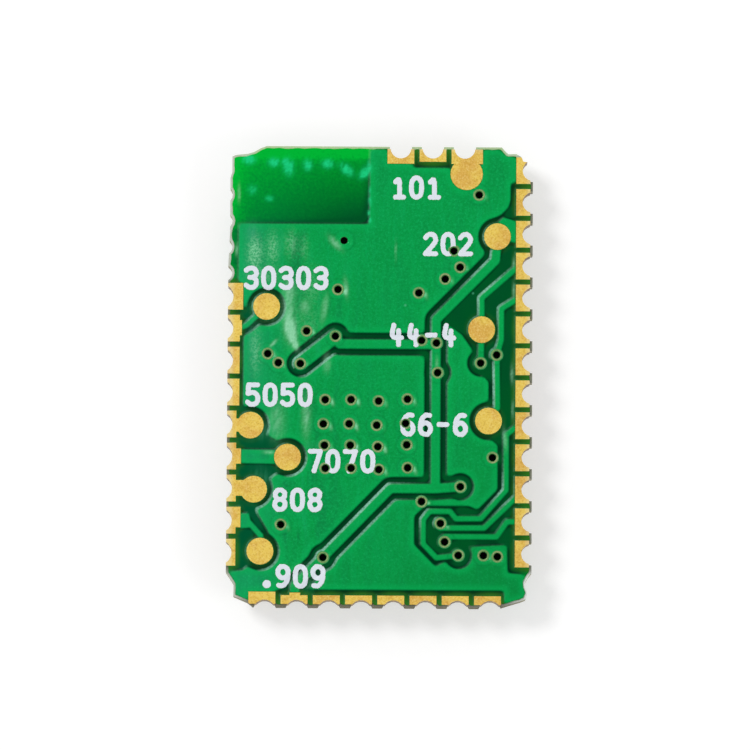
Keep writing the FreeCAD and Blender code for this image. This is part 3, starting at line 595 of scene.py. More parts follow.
class Wiring:
    """Short way to add nodes to a tree and to join their sockets."""

    def __init__(self, tree):
        self.tree = tree

    def add(self, kind, inputs=None, **settings):
        """New node; an input is given a value or another node's socket."""
        node = self.tree.nodes.new(kind)
        for name, value in settings.items():
            setattr(node, name, value)
        for key, value in (inputs or {}).items():
            plug(self.tree, node.inputs[key], value)
        return node

    def math(self, operation, *values):
        """Value of a math node."""
        return self.add("ShaderNodeMath", dict(enumerate(values)), operation=operation).outputs[0]

    def product(self, *values):
        """Product of two or more values."""
        result, *others = values
        for value in others:
            result = self.math("MULTIPLY", result, value)
        return result

    def parts(self, vector):
        """The three parts of a vector."""
        return self.add("ShaderNodeSeparateXYZ", {"Vector": vector}).outputs

    def noise(self, vector, scale, detail=2.0, roughness=0.5):
        """Noise between 0 and 1."""
        inputs = {"Vector": vector, "Scale": scale, "Detail": detail, "Roughness": roughness}
        return self.add("ShaderNodeTexNoise", inputs).outputs["Fac"]

    def ramp(self, value, low, high, to_low=0.0, to_high=1.0):
        """Smooth step of a value between two limits."""
        inputs = {
            "Value": value,
            "From Min": low,
            "From Max": high,
            "To Min": to_low,
            "To Max": to_high,
        }
        node = self.add("ShaderNodeMapRange", inputs, interpolation_type="SMOOTHSTEP")
        return node.outputs["Result"]

    def mix(self, factor, first, second):
        """Mix of two colours."""
        inputs = {MIX_FACTOR: factor, MIX_FIRST: first, MIX_SECOND: second}
        return self.add("ShaderNodeMix", inputs, data_type="RGBA").outputs[MIX_RESULT]

    def layered(self, colour, layers):
        """Colour under a list of layers, each a share of cover and a colour of its own."""
        for cover, shade in layers:
            colour = self.mix(cover, colour, shade)
        return colour

    def stretched(self, vector, scale):
        """Coordinates scaled by axis; a small scale draws a pattern out along that axis."""
        return self.add("ShaderNodeMapping", {"Vector": vector, "Scale": scale}).outputs[0]

    def place(self):
        """Object coordinates in metres."""
        return self.add("ShaderNodeTexCoord").outputs["Object"]

    def attribute(self, name):
        """Value of a vertex attribute."""
        return self.add("ShaderNodeAttribute", attribute_name=name).outputs["Fac"]

    def bump(self, height, distance):
        """Normal of a height given between 0 and 1 times a distance in metres."""
        inputs = {"Height": height, "Distance": distance, "Strength": 1.0}
        return self.add("ShaderNodeBump", inputs).outputs["Normal"]

    def group(self, tree, **inputs):
        """One of the shared effects."""
        named = {key.replace("_", " ").capitalize(): value for key, value in inputs.items()}
        return self.add("ShaderNodeGroup", named, node_tree=tree).outputs


def shared_group(name, inputs, outputs):
    """Empty shader group with float or vector inputs and float outputs."""
    tree = bpy.data.node_groups.new(name, "ShaderNodeTree")
    for label, kind, value in inputs:
        socket = tree.interface.new_socket(label, in_out="INPUT", socket_type=kind)
        if value is not None:
            socket.default_value = value
    for label in outputs:
        tree.interface.new_socket(label, in_out="OUTPUT", socket_type="NodeSocketFloat")
    wiring = Wiring(tree)
    start = wiring.add("NodeGroupInput")
    end = wiring.add("NodeGroupOutput")
    return tree, wiring, start.outputs, end.inputs


def make_grain():
    """Grain group: fine grit and broader clouds, both between 0 and 1."""
    tree, wiring, start, end = shared_group(
        "Grain",
        [
            ("Place", "NodeSocketVector", None),
            ("Size", "NodeSocketFloat", 30000.0),
            ("Cloud size", "NodeSocketFloat", 1500.0),
        ],
        ["Grit", "Cloud"],
    )
    grit = wiring.noise(start["Place"], start["Size"], 3.0, 0.6)
    cloud = wiring.noise(start["Place"], start["Cloud size"], 3.0, 0.5)
    wiring.tree.links.new(grit, end["Grit"])
    wiring.tree.links.new(cloud, end["Cloud"])
    return tree


def make_specks():
    """Specks group: small round spots with soft edges, on a share of the surface."""
    tree, wiring, start, end = shared_group(
        "Specks",
        [
            ("Place", "NodeSocketVector", None),
            ("Density", "NodeSocketFloat", 4000.0),
            ("Radius", "NodeSocketFloat", 0.12),
            ("Share", "NodeSocketFloat", 0.2),
        ],
        ["Mask"],
    )
    cells = wiring.add(
        "ShaderNodeTexVoronoi", {"Vector": start["Place"], "Scale": start["Density"]}
    )
    chosen = wiring.add("ShaderNodeSeparateColor", {"Color": cells.outputs["Color"]}).outputs[0]
    picked = wiring.math("LESS_THAN", chosen, start["Share"])
    spot = wiring.ramp(cells.outputs["Distance"], start["Radius"], 0.0)
    wiring.tree.links.new(wiring.product(spot, picked), end["Mask"])
    return tree


GRAIN = make_grain()
SPECKS = make_specks()


def new_material(name):
    """Material with its Principled shader, and the wiring of its tree."""
    material = bpy.data.materials.new(name)
    material.use_nodes = True
    shader = material.node_tree.nodes["Principled BSDF"]
    return material, shader, Wiring(material.node_tree)


def feed(wiring, shader, **sockets):
    """Sets or joins sockets of a shader by name."""
    for key, value in sockets.items():
        name = key.replace("_", " ").title().replace("Ior", "IOR")
        plug(wiring.tree, shader.inputs[name], value)


def shade_over_laminate(wiring, settings, place, grain, fine):
    """Mask over laminate: painted shade makes the narrow channels the darkest, the lit edges are
    the brightest.
    """
    east = wiring.parts(place)["X"]
    cloud = wiring.ramp(grain["Cloud"], 0.3, 0.7, 0.0, 0.4)
    shade = wiring.mix(cloud, settings.over_laminate, (0.0, 0.060, 0.022))
    teal = wiring.ramp(east, -0.0015, -0.0050, 0.0, 0.35)
    shade = wiring.mix(teal, shade, (0.0, 0.105, 0.052))
    # Painted shade in the narrow channels between copper edges
    narrow = wiring.ramp(wiring.attribute("narrow"), 0.28, 0.46, 0.0, 0.92)
    shade = wiring.mix(narrow, shade, settings.in_channels)
    lit = wiring.product(wiring.attribute("lit"), wiring.ramp(fine, 0.25, 0.75, 0.74, 1.22))
    return wiring.mix(lit, shade, settings.lit_laminate)


def shade_over_copper(wiring, settings, place, grain, fine, streaks):
    """Mask over copper: brushed and grainy, darker to the lower right, brightest at its edges."""
    east, north, _ = wiring.parts(place)
    brushed = wiring.noise(wiring.stretched(place, (1.0, 0.22, 1.0)), 1500.0, 4.0, 0.62)
    west = wiring.ramp(east, 0.0, -0.0035, 0.25, 0.85)
    slant = wiring.math("MULTIPLY_ADD", north, -0.55, wiring.product(east, 0.6))
    layers = [
        (wiring.ramp(grain["Cloud"], 0.25, 0.75), (0.001, 0.305, 0.054)),
        (wiring.ramp(streaks, 0.42, 0.75, 0.0, 0.30), (0.002, 0.45, 0.12)),
        (wiring.product(wiring.ramp(brushed, 0.52, 0.34), west), (0.003, 0.20, 0.055)),
        (wiring.product(wiring.ramp(brushed, 0.56, 0.75, 0.0, 0.5), west), (0.012, 0.44, 0.17)),
        (wiring.ramp(fine, 0.38, 0.70, 0.0, 0.70), (0.004, 0.42, 0.100)),
        (wiring.ramp(grain["Grit"], 0.56, 0.36, 0.0, 0.45), (0.001, 0.22, 0.045)),
        (wiring.ramp(slant, 0.0015, 0.0085, 0.0, 0.55), (0.001, 0.19, 0.030)),
        (wiring.ramp(east, -0.0032, -0.0054, 0.0, 0.45), (0.012, 0.36, 0.155)),
        (wiring.ramp(wiring.attribute("copper"), 0.32, 0.05, 0.0, 0.45), (0.001, 0.43, 0.090)),
    ]
    return wiring.layered(settings.over_copper, layers)


def mask_material(settings):
    """Green solder mask: bright over copper, dark over laminate, with painted shade in narrow
    channels and a painted highlight on slopes that face the upper left.

    Reads the distance to the copper's edge, the light that enters the bare laminate from its edge,
    the marks left on the mask, some of them painted highlights, and the distance to the nearest
    via.
    """
    material, shader, wiring = new_material("solder mask")
    place = wiring.place()
    grain = wiring.group(GRAIN, place=place, size=22000.0, cloud_size=700.0)
    fine = wiring.noise(place, 9000.0, 4.0, 0.65)
    streaks = wiring.noise(wiring.stretched(place, (1.0, 0.16, 1.0)), 5200.0, 3.0, 0.6)
    dark = shade_over_laminate(wiring, settings, place, grain, fine)
    bright = shade_over_copper(wiring, settings, place, grain, fine, streaks)
    copper = wiring.attribute("copper")
    wander = wiring.math("MULTIPLY_ADD", grain["Grit"], 0.03, -0.015)
    over = wiring.ramp(wiring.math("ADD", copper, wander), -0.055, 0.045)
    colour = wiring.mix(over, dark, bright)

    # Painted highlight on the slopes that face the upper left, olive strips between the pads, a
    # faint circle round each via
    patchy = wiring.ramp(fine, 0.30, 0.62, 0.35, 0.95)
    slope = wiring.product(wiring.ramp(copper, -0.10, -0.05), wiring.ramp(copper, 0.05, 0.0))
    beside_copper = wiring.ramp(copper, 0.0, -0.05)
    via = wiring.attribute("via")
    circle = wiring.product(wiring.ramp(via, 0.12, 0.17), wiring.ramp(via, 0.26, 0.18))
    # Marks: dried flux in haze, streaks and powder, with painted highlights among the streaks;
    # blotches, some of them painted highlights; and a few specks
    streak = wiring.product(wiring.attribute("streak"), wiring.ramp(fine, 0.2, 0.7, 0.6))
    dots = wiring.noise(place, 11000.0, 3.0, 0.7)
    powder = wiring.product(wiring.attribute("powder"), wiring.ramp(dots, 0.38, 0.64, 0.15))
    specks = wiring.group(SPECKS, place=place, density=1100.0, radius=0.09, share=0.10)["Mask"]
    layers = [
        (wiring.product(wiring.attribute("pale"), slope, patchy), settings.slope_highlight),
        (wiring.product(wiring.attribute("strip"), beside_copper, 0.75), (0.040, 0.150, 0.010)),
        (wiring.product(circle, over, 0.22), (0.0, 0.15, 0.03)),
        (
            wiring.product(wiring.attribute("haze"), wiring.ramp(streaks, 0.36, 0.62, 0.25)),
            (0.050, 0.36, 0.20),
        ),
        # Flux streaks, with painted highlights at the vias and beside the right pads
        (streak, settings.residue_and_glint),
        (powder, (0.24, 0.66, 0.36)),
        # Blotches, partly painted highlights
        (
            wiring.product(wiring.attribute("blotches_and_glints"), wiring.ramp(fine, 0.25, 0.7, 0.7)),
            (0.012, 0.63, 0.22),
        ),
        (wiring.product(specks, 0.5), (0.12, 0.6, 0.36)),
    ]
    colour = wiring.layered(colour, layers)

    peel = wiring.noise(place, 4200.0, 2.0)
    residue_and_glint = wiring.math("MAXIMUM", streak, powder)
    smooth = wiring.ramp(fine, 0.2, 0.8, 0.17, 0.30)
    feed(
        wiring,
        shader,
        base_color=colour,
        roughness=wiring.math("MULTIPLY_ADD", residue_and_glint, 0.3, smooth),
        normal=wiring.bump(wiring.math("MULTIPLY_ADD", grain["Grit"], 0.25, peel), 0.0000022),
        ior=1.52,
        specular_ior_level=wiring.ramp(copper, -0.02, 0.06, 0.07, 0.36),
        specular_tint=(0.25, 1.0, 0.66),
    )
    return material


def laminate_material():
    """Glass-epoxy: olive-tan, with layers of cloth in the cut edge and pale broken places."""
    material, shader, wiring = new_material("glass epoxy laminate")
    place = wiring.place()
    grain = wiring.group(GRAIN, place=place, size=26000.0, cloud_size=2400.0)
    flat = wiring.stretched(place, (0.10, 0.10, 1.0))
    layers = wiring.ramp(wiring.noise(flat, 9000.0, 3.0, 0.6), 0.40, 0.62)
    strands = wiring.noise(wiring.stretched(place, (1.0, 1.0, 0.25)), 16000.0, 2.0)
    east, north, _ = wiring.parts(place)
    colour = wiring.mix(layers, (0.26, 0.25, 0.11), (0.50, 0.48, 0.26))
    colour = wiring.mix(wiring.ramp(strands, 0.45, 0.75, 0.0, 0.5), colour, (0.62, 0.60, 0.45))
    broken = wiring.ramp(grain["Cloud"], 0.42, 0.66, 0.0, 0.75)
    colour = wiring.mix(broken, colour, (0.56, 0.54, 0.47))
    # The bare rim of the upper face is pale, greenish at the top and whitish at the lower right
    upright = wiring.parts(wiring.add("ShaderNodeNewGeometry").outputs["Normal"])["Z"]
    high = wiring.ramp(north, (TOP - 0.6) * MM, (TOP - 0.1) * MM)
    rim = wiring.mix(high, (0.54, 0.57, 0.50), (0.44, 0.62, 0.31))
    corner = wiring.math("SUBTRACT", east, north)
    rim = wiring.mix(wiring.ramp(corner, 0.0105, 0.0130), rim, (0.84, 0.87, 0.86))
    rim = wiring.mix(wiring.ramp(grain["Grit"], 0.45, 0.7, 0.0, 0.45), rim, (0.80, 0.84, 0.74))
    # It is dark beside the two long rows of pads
    right = wiring.product(wiring.ramp(east, 0.0055, 0.0057), wiring.ramp(north, 0.0087, 0.0084))
    left = wiring.product(wiring.ramp(east, -0.0055, -0.0057), wiring.ramp(north, 0.0040, 0.0036))
    rows = wiring.product(wiring.math("ADD", right, left), wiring.ramp(north, -0.0080, -0.0076))
    rim = wiring.mix(wiring.product(rows, 0.85), rim, (0.085, 0.095, 0.040))
    colour = wiring.mix(wiring.ramp(upright, 0.7, 0.95, 0.0, 0.9), colour, rim)
    # The laminate is darker brown towards its lower edge
    toward_lower_edge = wiring.ramp(north, (BOTTOM + 0.5) * MM, (BOTTOM + 0.02) * MM, 0.0, 0.85)
    colour = wiring.mix(toward_lower_edge, colour, (0.085, 0.070, 0.028))
    height = wiring.math("ADD", layers, grain["Grit"])
    feed(
        wiring,
        shader,
        base_color=colour,
        roughness=wiring.ramp(grain["Grit"], 0.2, 0.8, 0.6, 0.85),
        normal=wiring.bump(height, 0.000008),
    )
    return material


def gold_material(settings):
    """Immersion gold: fine-grained, warmer in patches, with a painted highlight at the tips beside
    the half holes.

    The walls of the half holes carry painted shade, dark brown in upright streaks.
    """
    material, shader, wiring = new_material("immersion gold")
    place = wiring.place()
    grain = wiring.group(GRAIN, place=place, size=17000.0, cloud_size=1400.0)
    east, north, _ = wiring.parts(place)
    warm = wiring.mix(wiring.ramp(grain["Cloud"], 0.35, 0.7), settings.gold, (0.86, 0.50, 0.085))
    light = wiring.ramp(grain["Grit"], 0.48, 0.72, 0.0, 0.60)
    colour = wiring.mix(light, warm, (1.0, 0.80, 0.30))
    dim = wiring.ramp(grain["Grit"], 0.50, 0.30, 0.0, 0.60)
    colour = wiring.mix(dim, colour, (0.66, 0.37, 0.05))
    # Both long edges and the top edge, brought to one distance from the middle
    sides = wiring.math("MAXIMUM", wiring.math("ABSOLUTE", east), wiring.product(north, 0.646))
    # Painted highlight at the tips of the pads beside the half holes
    tips = wiring.ramp(sides, 0.00570, 0.00592, 0.0, 0.55)
    colour = wiring.mix(tips, colour, (1.0, 0.86, 0.46))
    # Painted shade on the upright walls of the half holes, dark brown with lighter streaks
    upright = wiring.parts(wiring.add("ShaderNodeNewGeometry").outputs["Normal"])["Z"]
    wall = wiring.ramp(wiring.math("ABSOLUTE", upright), 0.8, 0.5)
    drawn = wiring.noise(wiring.stretched(place, (1.0, 1.0, 0.3)), 7000.0, 3.0, 0.6)
    dark, brown, bright = (0.075, 0.036, 0.012), (0.26, 0.14, 0.038), (0.66, 0.42, 0.11)
    wall_shade = wiring.mix(wiring.ramp(drawn, 0.34, 0.56), dark, brown)
    wall_shade = wiring.mix(wiring.ramp(drawn, 0.52, 0.68, 0.0, 0.85), wall_shade, bright)
    colour = wiring.mix(wall, colour, wall_shade)
    feed(
        wiring,
        shader,
        base_color=colour,
        metallic=0.40,
        roughness=wiring.ramp(grain["Grit"], 0.2, 0.8, 0.34, 0.50),
        normal=wiring.bump(grain["Grit"], 0.0000030),
    )
    return material


def dull_metal(name, colour, shade, rough):
    """Tin, solder or a plated lid, with clouds of a darker shade."""
    material, shader, wiring = new_material(name)
    place = wiring.place()
    grain = wiring.group(GRAIN, place=place, size=24000.0, cloud_size=2600.0)
    tint = wiring.mix(wiring.ramp(grain["Cloud"], 0.3, 0.7), colour, shade)
    feed(
        wiring,
        shader,
        base_color=tint,
        metallic=1.0,
        roughness=wiring.ramp(grain["Grit"], 0.2, 0.8, rough - 0.08, rough + 0.08),
        normal=wiring.bump(grain["Grit"], 0.0000025),
    )
    return material


def ceramic_material(name, colour, shade, rough):
    """Fired ceramic or moulding compound with fine grit and pores."""
    material, shader, wiring = new_material(name)
    place = wiring.place()
    grain = wiring.group(GRAIN, place=place, size=30000.0, cloud_size=2000.0)
    tint = wiring.mix(wiring.ramp(grain["Grit"], 0.3, 0.75), colour, shade)
    pores = wiring.group(SPECKS, place=place, density=14000.0, radius=0.3, share=0.25)["Mask"]
    tint = wiring.mix(wiring.product(pores, 0.5), tint, shade)
    height = wiring.math("SUBTRACT", grain["Grit"], pores)
    feed(
        wiring,
        shader,
        base_color=tint,
        roughness=wiring.ramp(grain["Cloud"], 0.2, 0.8, rough - 0.08, rough + 0.08),
        normal=wiring.bump(height, 0.000004),
    )
    return material


def ink_material(settings):
    """Printed ink: pale, matt, a little uneven and thin in places."""
    material, shader, wiring = new_material("printed ink")
    place = wiring.place()
    grain = wiring.group(GRAIN, place=place, size=20000.0, cloud_size=5000.0)
    thin = wiring.ramp(grain["Cloud"], 0.52, 0.78, 0.0, 0.22)
    colour = wiring.mix(thin, settings.ink, (0.50, 0.66, 0.64))
    feed(
        wiring,
        shader,
        base_color=colour,
        roughness=0.6,
        normal=wiring.bump(grain["Grit"], 0.000003),
    )
    return material


def barrel_material():
    """Plated wall of a via in painted shade, near black down to its foot, with painted light on
    its rim.
    """
    material, shader, wiring = new_material("via barrel")
    place = wiring.place()
    depth = wiring.parts(place)["Z"]
    grain = wiring.group(GRAIN, place=place, size=30000.0, cloud_size=6000.0)
    # Painted shade inside the bore
    shade = wiring.mix(grain["Grit"], (0.010, 0.008, 0.004), (0.03, 0.022, 0.01))
    # Painted light: the top of the bore is lighter brown
    rim = wiring.ramp(depth, (COPPER_TOP - 0.05) * MM, COPPER_TOP * MM, 0.0, 0.6)
    colour = wiring.mix(rim, shade, (0.16, 0.12, 0.03))
    feed(wiring, shader, base_color=colour, roughness=0.6)
    return material


def ring_material(settings):
    """Land of a via: brown at the bore, beige in the middle, green under the mask's edge."""
    material, shader, wiring = new_material("via land")
    place = wiring.place()
    grain = wiring.group(GRAIN, place=place, size=26000.0, cloud_size=3800.0)
    radius = wiring.math("MULTIPLY_ADD", grain["Grit"], 0.03, wiring.attribute("radius"))
    middle = wiring.mix(wiring.ramp(grain["Cloud"], 0.35, 0.65), settings.ring, (0.16, 0.36, 0.10))
    pale = wiring.ramp(grain["Grit"], 0.5, 0.75, 0.0, 0.5)
    middle = wiring.mix(pale, middle, (0.62, 0.66, 0.36))
    colour = wiring.mix(wiring.ramp(radius, 0.168, 0.196), (0.050, 0.022, 0.007), middle)
    colour = wiring.mix(wiring.ramp(radius, 0.215, 0.262), colour, (0.04, 0.32, 0.10))
    feed(
        wiring,
        shader,
        base_color=colour,
        metallic=0.25,
        roughness=wiring.ramp(grain["Grit"], 0.2, 0.8, 0.28, 0.45),
        normal=wiring.bump(grain["Grit"], 0.000003),
    )
    return material


def paint(nodes, material):
    """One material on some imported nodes."""
    for node in nodes:
        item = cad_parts[node]
        item.data.materials.clear()
        item.data.materials.append(material)


# Printed numbers
# A digit is drawn in a box one unit wide and high; each stroke is a list of points.

DIGITS = {
    "0": [
        [(0.3, 1), (0.7, 1), (1, 0.8), (1, 0.2), (0.7, 0), (0.3, 0), (0, 0.2), (0, 0.8), (0.3, 1)],
    ],
    "1": [[(0.15, 0.78), (0.55, 1), (0.55, 0)], [(0.15, 0), (0.95, 0)]],
    "2": [[(0, 0.82), (0.3, 1), (0.75, 1), (1, 0.82), (1, 0.6), (0, 0)], [(0, 0), (1, 0)]],
    "3": [
        [(0, 0.88), (0.3, 1), (0.75, 1), (1, 0.84), (1, 0.64), (0.7, 0.52), (0.35, 0.52)],
        [(0.7, 0.52), (1, 0.4), (1, 0.16), (0.75, 0), (0.3, 0), (0, 0.12)],
    ],
    "4": [[(0.25, 1), (0, 0.36), (1, 0.36)], [(0.72, 0.72), (0.72, 0)]],
    "5": [
        [(0.95, 1), (0.08, 1)],
        [(0.08, 1), (0.04, 0.56)],
        [(0.04, 0.56), (0.6, 0.64), (1, 0.46), (1, 0.16), (0.7, 0), (0.25, 0), (0, 0.12)],
    ],
    "6": [
        [(0.9, 0.96), (0.5, 1), (0.08, 0.75), (0, 0.4), (0, 0.16), (0.3, 0), (0.7, 0)],
        [(0.7, 0), (1, 0.16), (1, 0.4), (0.7, 0.58), (0.3, 0.58), (0, 0.4)],
    ],
    "7": [[(0, 1), (1, 1)], [(1, 1), (0.38, 0)]],
    "8": [
        [(0.3, 0.52), (0.04, 0.66), (0.04, 0.86), (0.3, 1), (0.7, 1), (0.96, 0.86)],
        [(0.96, 0.86), (0.96, 0.66), (0.7, 0.52), (0.3, 0.52), (0, 0.38), (0, 0.16), (0.3, 0)],
        [(0.3, 0), (0.7, 0), (1, 0.16), (1, 0.38), (0.7, 0.52)],
    ],
    "-": [[(0.12, 0.5), (0.88, 0.5)]],
}
DIGITS["9"] = [[(1 - x, 1 - y) for x, y in stroke] for stroke in DIGITS["6"]]

# Each printed number and its middle, in millimetres
NUMBERS = [
    ("101", 1.41, 7.52),
    ("202", 2.67, 5.27),
    ("30303", -3.73, 3.88),
    ("44-4", 1.68, 1.64),
    ("5050", -3.98, -0.77),
    ("66-6", 2.16, -1.91),
    ("7070", -1.49, -3.39),
    ("808", -3.22, -4.93),
    ("909", -3.08, -7.96),
]
CORNER_DOT = (-4.41, -8.27)


def rounded(points, rounds=2):
    """Path with its inner corners cut at a quarter and three quarters of each side, twice."""
    path = np.array(points, float)
    closed = np.allclose(path[0], path[-1])
    for _ in range(rounds):
        if len(path) < 3:
            break
        early = path[:-1] * 0.75 + path[1:] * 0.25
        late = path[:-1] * 0.25 + path[1:] * 0.75
        cut = np.stack([early, late], axis=1).reshape(-1, 2)
        if closed:
            path = np.concatenate([cut, cut[:1]])
        else:
            path = np.concatenate([path[:1], cut[1:-1], path[-1:]])
    return path


def number_strokes(text, x, y, settings):
    """Segments (n, 2, 2) of a printed number about its middle."""
    wide = settings.width - settings.stroke
    tall = settings.height - settings.stroke
    length = settings.advance * (len(text) - 1) + wide
    pieces = []
    for place, sign in enumerate(text):
        corner = np.array([x - length / 2 + place * settings.advance, y - tall / 2])
        for stroke in DIGITS[sign]:
            path = rounded(stroke) * [wide, tall] + corner
            pieces.append(np.stack([path[:-1], path[1:]], axis=1))
    return np.concatenate(pieces)


def grid(low, high, pitch):
    """Even steps from low to high, no wider than the pitch."""
    return np.linspace(low, high, int(np.ceil((high - low) / pitch)) + 1)


def ink_film(strokes, width, seed, settings, mask):
    """Cut grid of some strokes over the mask, domed, with ragged edges, open at vias and pads."""
    via_opening, pad_gap, shoulder = 0.19, 0.02, 0.035
    low = strokes.min(axis=(0, 1)) - width
    high = strokes.max(axis=(0, 1)) + width
    xs = grid(low[0], high[0], settings.pitch)
    ys = grid(low[1], high[1], settings.pitch)
    ink = width / 2 - distance_to(xs, ys, strokes, 0.3, signed=False)
    ink += 0.007 * ripple(xs, ys, 0.13, 20 + seed) + 0.005 * ripple(xs, ys, 0.06, seed)
    via = to_points(xs, ys, VIAS, 0.5) - via_opening
    field = np.minimum(np.minimum(ink, via), -pad_distance(xs, ys) - pad_gap)
    dome = np.clip(field / shoulder, 0, 1)
    level = mask_level(xs, ys, mask)[0]
    level += settings.thickness * (0.35 + 0.65 * np.sqrt(dome * (2 - dome)))
    return cut_grid(xs, ys, field, np.minimum(level, PAD_TOP), BOARD_TOP + mask.film / 2)


# Marks on the mask. Each has its middle, its spread across and along, its lean and its strength.
STREAKS = [
    (-3.55, 1.85, 0.17, 0.40, 0.16, 2.20),
    (-3.62, 2.70, 0.17, 0.50, 0.05, 0.45),
    (-3.38, 1.30, 0.10, 0.22, 0.30, 1.60),
    (-2.20, 2.70, 0.10, 0.42, -0.15, 0.50),
    (-2.98, 2.75, 0.16, 0.22, 0.0, 0.45),
    (-3.60, 3.40, 0.20, 0.35, 0.0, 0.55),
    (-4.22, 1.28, 0.07, 0.12, -0.8, 0.85),
    (-2.10, 0.52, 0.12, 0.30, 0.0, 0.40),
    (-4.05, -1.80, 0.26, 0.62, 0.0, 0.34),
    (-2.90, -1.62, 0.14, 0.66, 0.0, 0.48),
    (-1.80, 5.28, 0.13, 0.22, 0.7, 0.65),
    (-1.36, 3.50, 0.08, 0.30, 0.1, 0.55),
    (0.60, 5.00, 0.03, 0.30, 0.0, 0.35),
    (-4.35, -3.05, 0.20, 0.06, 0.2, 0.55),
    (2.25, 0.55, 0.05, 0.20, 0.0, 0.45),
    (-5.62, 7.25, 0.05, 0.28, 0.0, 0.55),
    (-5.70, 5.00, 0.05, 0.20, 0.0, 0.55),
    # These five, beside the right pads, are painted highlights
    (5.27, 4.55, 0.04, 0.18, 0.0, 0.50),
    (5.27, 3.45, 0.04, 0.25, 0.0, 0.55),
    (5.22, 0.10, 0.05, 0.30, 0.0, 0.55),
    (5.25, -1.30, 0.04, 0.30, 0.0, 0.40),
    (4.95, -2.45, 0.07, 0.35, 0.1, 0.45),
]
HAZES = [
    (-5.10, 0.70, 0.26, 0.70, 0.0, 0.30),
    (-5.05, 1.70, 0.22, 0.40, 0.0, 0.25),
    (-4.80, -2.20, 0.55, 0.30, 0.0, 0.35),
    (-2.60, -2.80, 0.30, 0.20, 0.0, 0.30),
    (-4.60, -4.05, 0.30, 0.40, 0.3, 0.30),
    (-5.10, 5.70, 0.25, 0.40, 0.0, 0.30),
]
POWDER = [
    (-4.98, 4.85, 0.25, 0.55, 0.0, 1.10),
    (-4.28, 5.05, 0.20, 0.52, 0.0, 0.75),
    (-3.55, 5.25, 0.22, 0.45, 0.0, 0.45),
    (-3.02, 5.10, 0.15, 0.40, 0.0, 0.30),
    (-4.92, 0.95, 0.20, 0.75, 0.0, 0.45),
    (-4.60, 2.55, 0.35, 0.30, 0.6, 0.40),
    (-2.75, 3.60, 0.35, 0.60, 0.0, 0.30),
    (-4.60, 3.95, 0.60, 0.30, 0.0, 0.35),
    (-3.60, 2.30, 0.25, 0.80, 0.0, 0.35),
    (-2.90, 2.10, 0.50, 0.60, 0.0, 0.18),
    (-3.00, -8.00, 0.60, 0.40, 0.0, 0.20),
]
BLOTCHES = [
    (-5.24, 8.62, 0.20, 0.16, 0.0, 0.90),
    (-4.25, 8.50, 0.18, 0.15, 0.0, 0.80),
    (-3.80, 8.52, 0.10, 0.12, 0.0, 0.70),
    (-3.66, 8.30, 0.16, 0.26, 0.0, 0.85),
    (-2.91, 8.40, 0.14, 0.18, 0.0, 0.75),
    (-2.12, 8.45, 0.18, 0.15, 0.0, 0.80),
    (-1.36, 8.22, 0.18, 0.20, 0.5, 0.80),
    (-0.62, 8.12, 0.17, 0.20, -0.4, 0.95),
    (-0.48, 8.42, 0.06, 0.16, 0.0, 0.60),
    (-4.42, 7.05, 0.14, 0.10, 0.0, 0.45),
    (-5.10, 7.40, 0.16, 0.18, 0.0, 0.30),
    # These four, along the right edge of the bare corner, are painted highlights
    (-0.44, 7.40, 0.05, 0.14, 0.0, 0.45),
    (-0.43, 6.95, 0.06, 0.16, 0.0, 0.60),
    (-0.47, 6.50, 0.05, 0.10, 0.0, 0.50),
    (-0.42, 6.20, 0.05, 0.12, 0.0, 0.55),
]

# Places, in the same form, where slopes that face the upper left carry a painted highlight
PALE_EDGES = [
    (-3.30, 0.50, 0.90, 0.70, 0.0, 1.0),
    (-2.10, 1.00, 0.50, 0.60, 0.0, 0.8),
    (-4.50, 2.50, 0.90, 0.70, 0.0, 0.8),
    (-4.30, -1.90, 0.90, 0.90, 0.0, 0.5),
    (-3.50, -3.70, 0.90, 0.60, 0.0, 1.0),
    (-4.60, -5.20, 0.90, 0.50, 0.0, 0.7),
    (-4.40, -7.60, 0.80, 0.80, 0.0, 0.6),
    (-2.10, -6.90, 0.90, 0.90, 0.0, 1.0),
    (-0.90, -5.30, 1.10, 1.10, 0.0, 1.0),
    (0.30, -4.20, 0.80, 0.80, 0.0, 0.8),
    (4.60, -0.20, 0.40, 1.60, 0.0, 0.9),
    (4.20, 3.20, 0.80, 1.00, 0.0, 0.9),
    (3.90, 4.90, 0.90, 0.80, 0.0, 0.8),
    (2.20, 0.80, 0.40, 1.50, 0.0, 0.5),
    (1.90, -5.60, 0.40, 0.40, 0.0, 0.8),
    (4.90, -4.60, 0.60, 0.70, 0.0, 0.7),
    (3.80, -5.00, 0.15, 0.30, 0.0, 0.6),
]


def spots(xs, ys, marks):
    """Bell-shaped spots added up; a lean shifts a spot across as it runs along."""
    total = np.zeros((len(ys), len(xs)))
    for x, y, across, along, lean, strength in marks:
        up = ys[:, None] - y
        aside = xs[None, :] - x + lean * up
        total += strength * bell(aside, across) * bell(up, along)
    return total


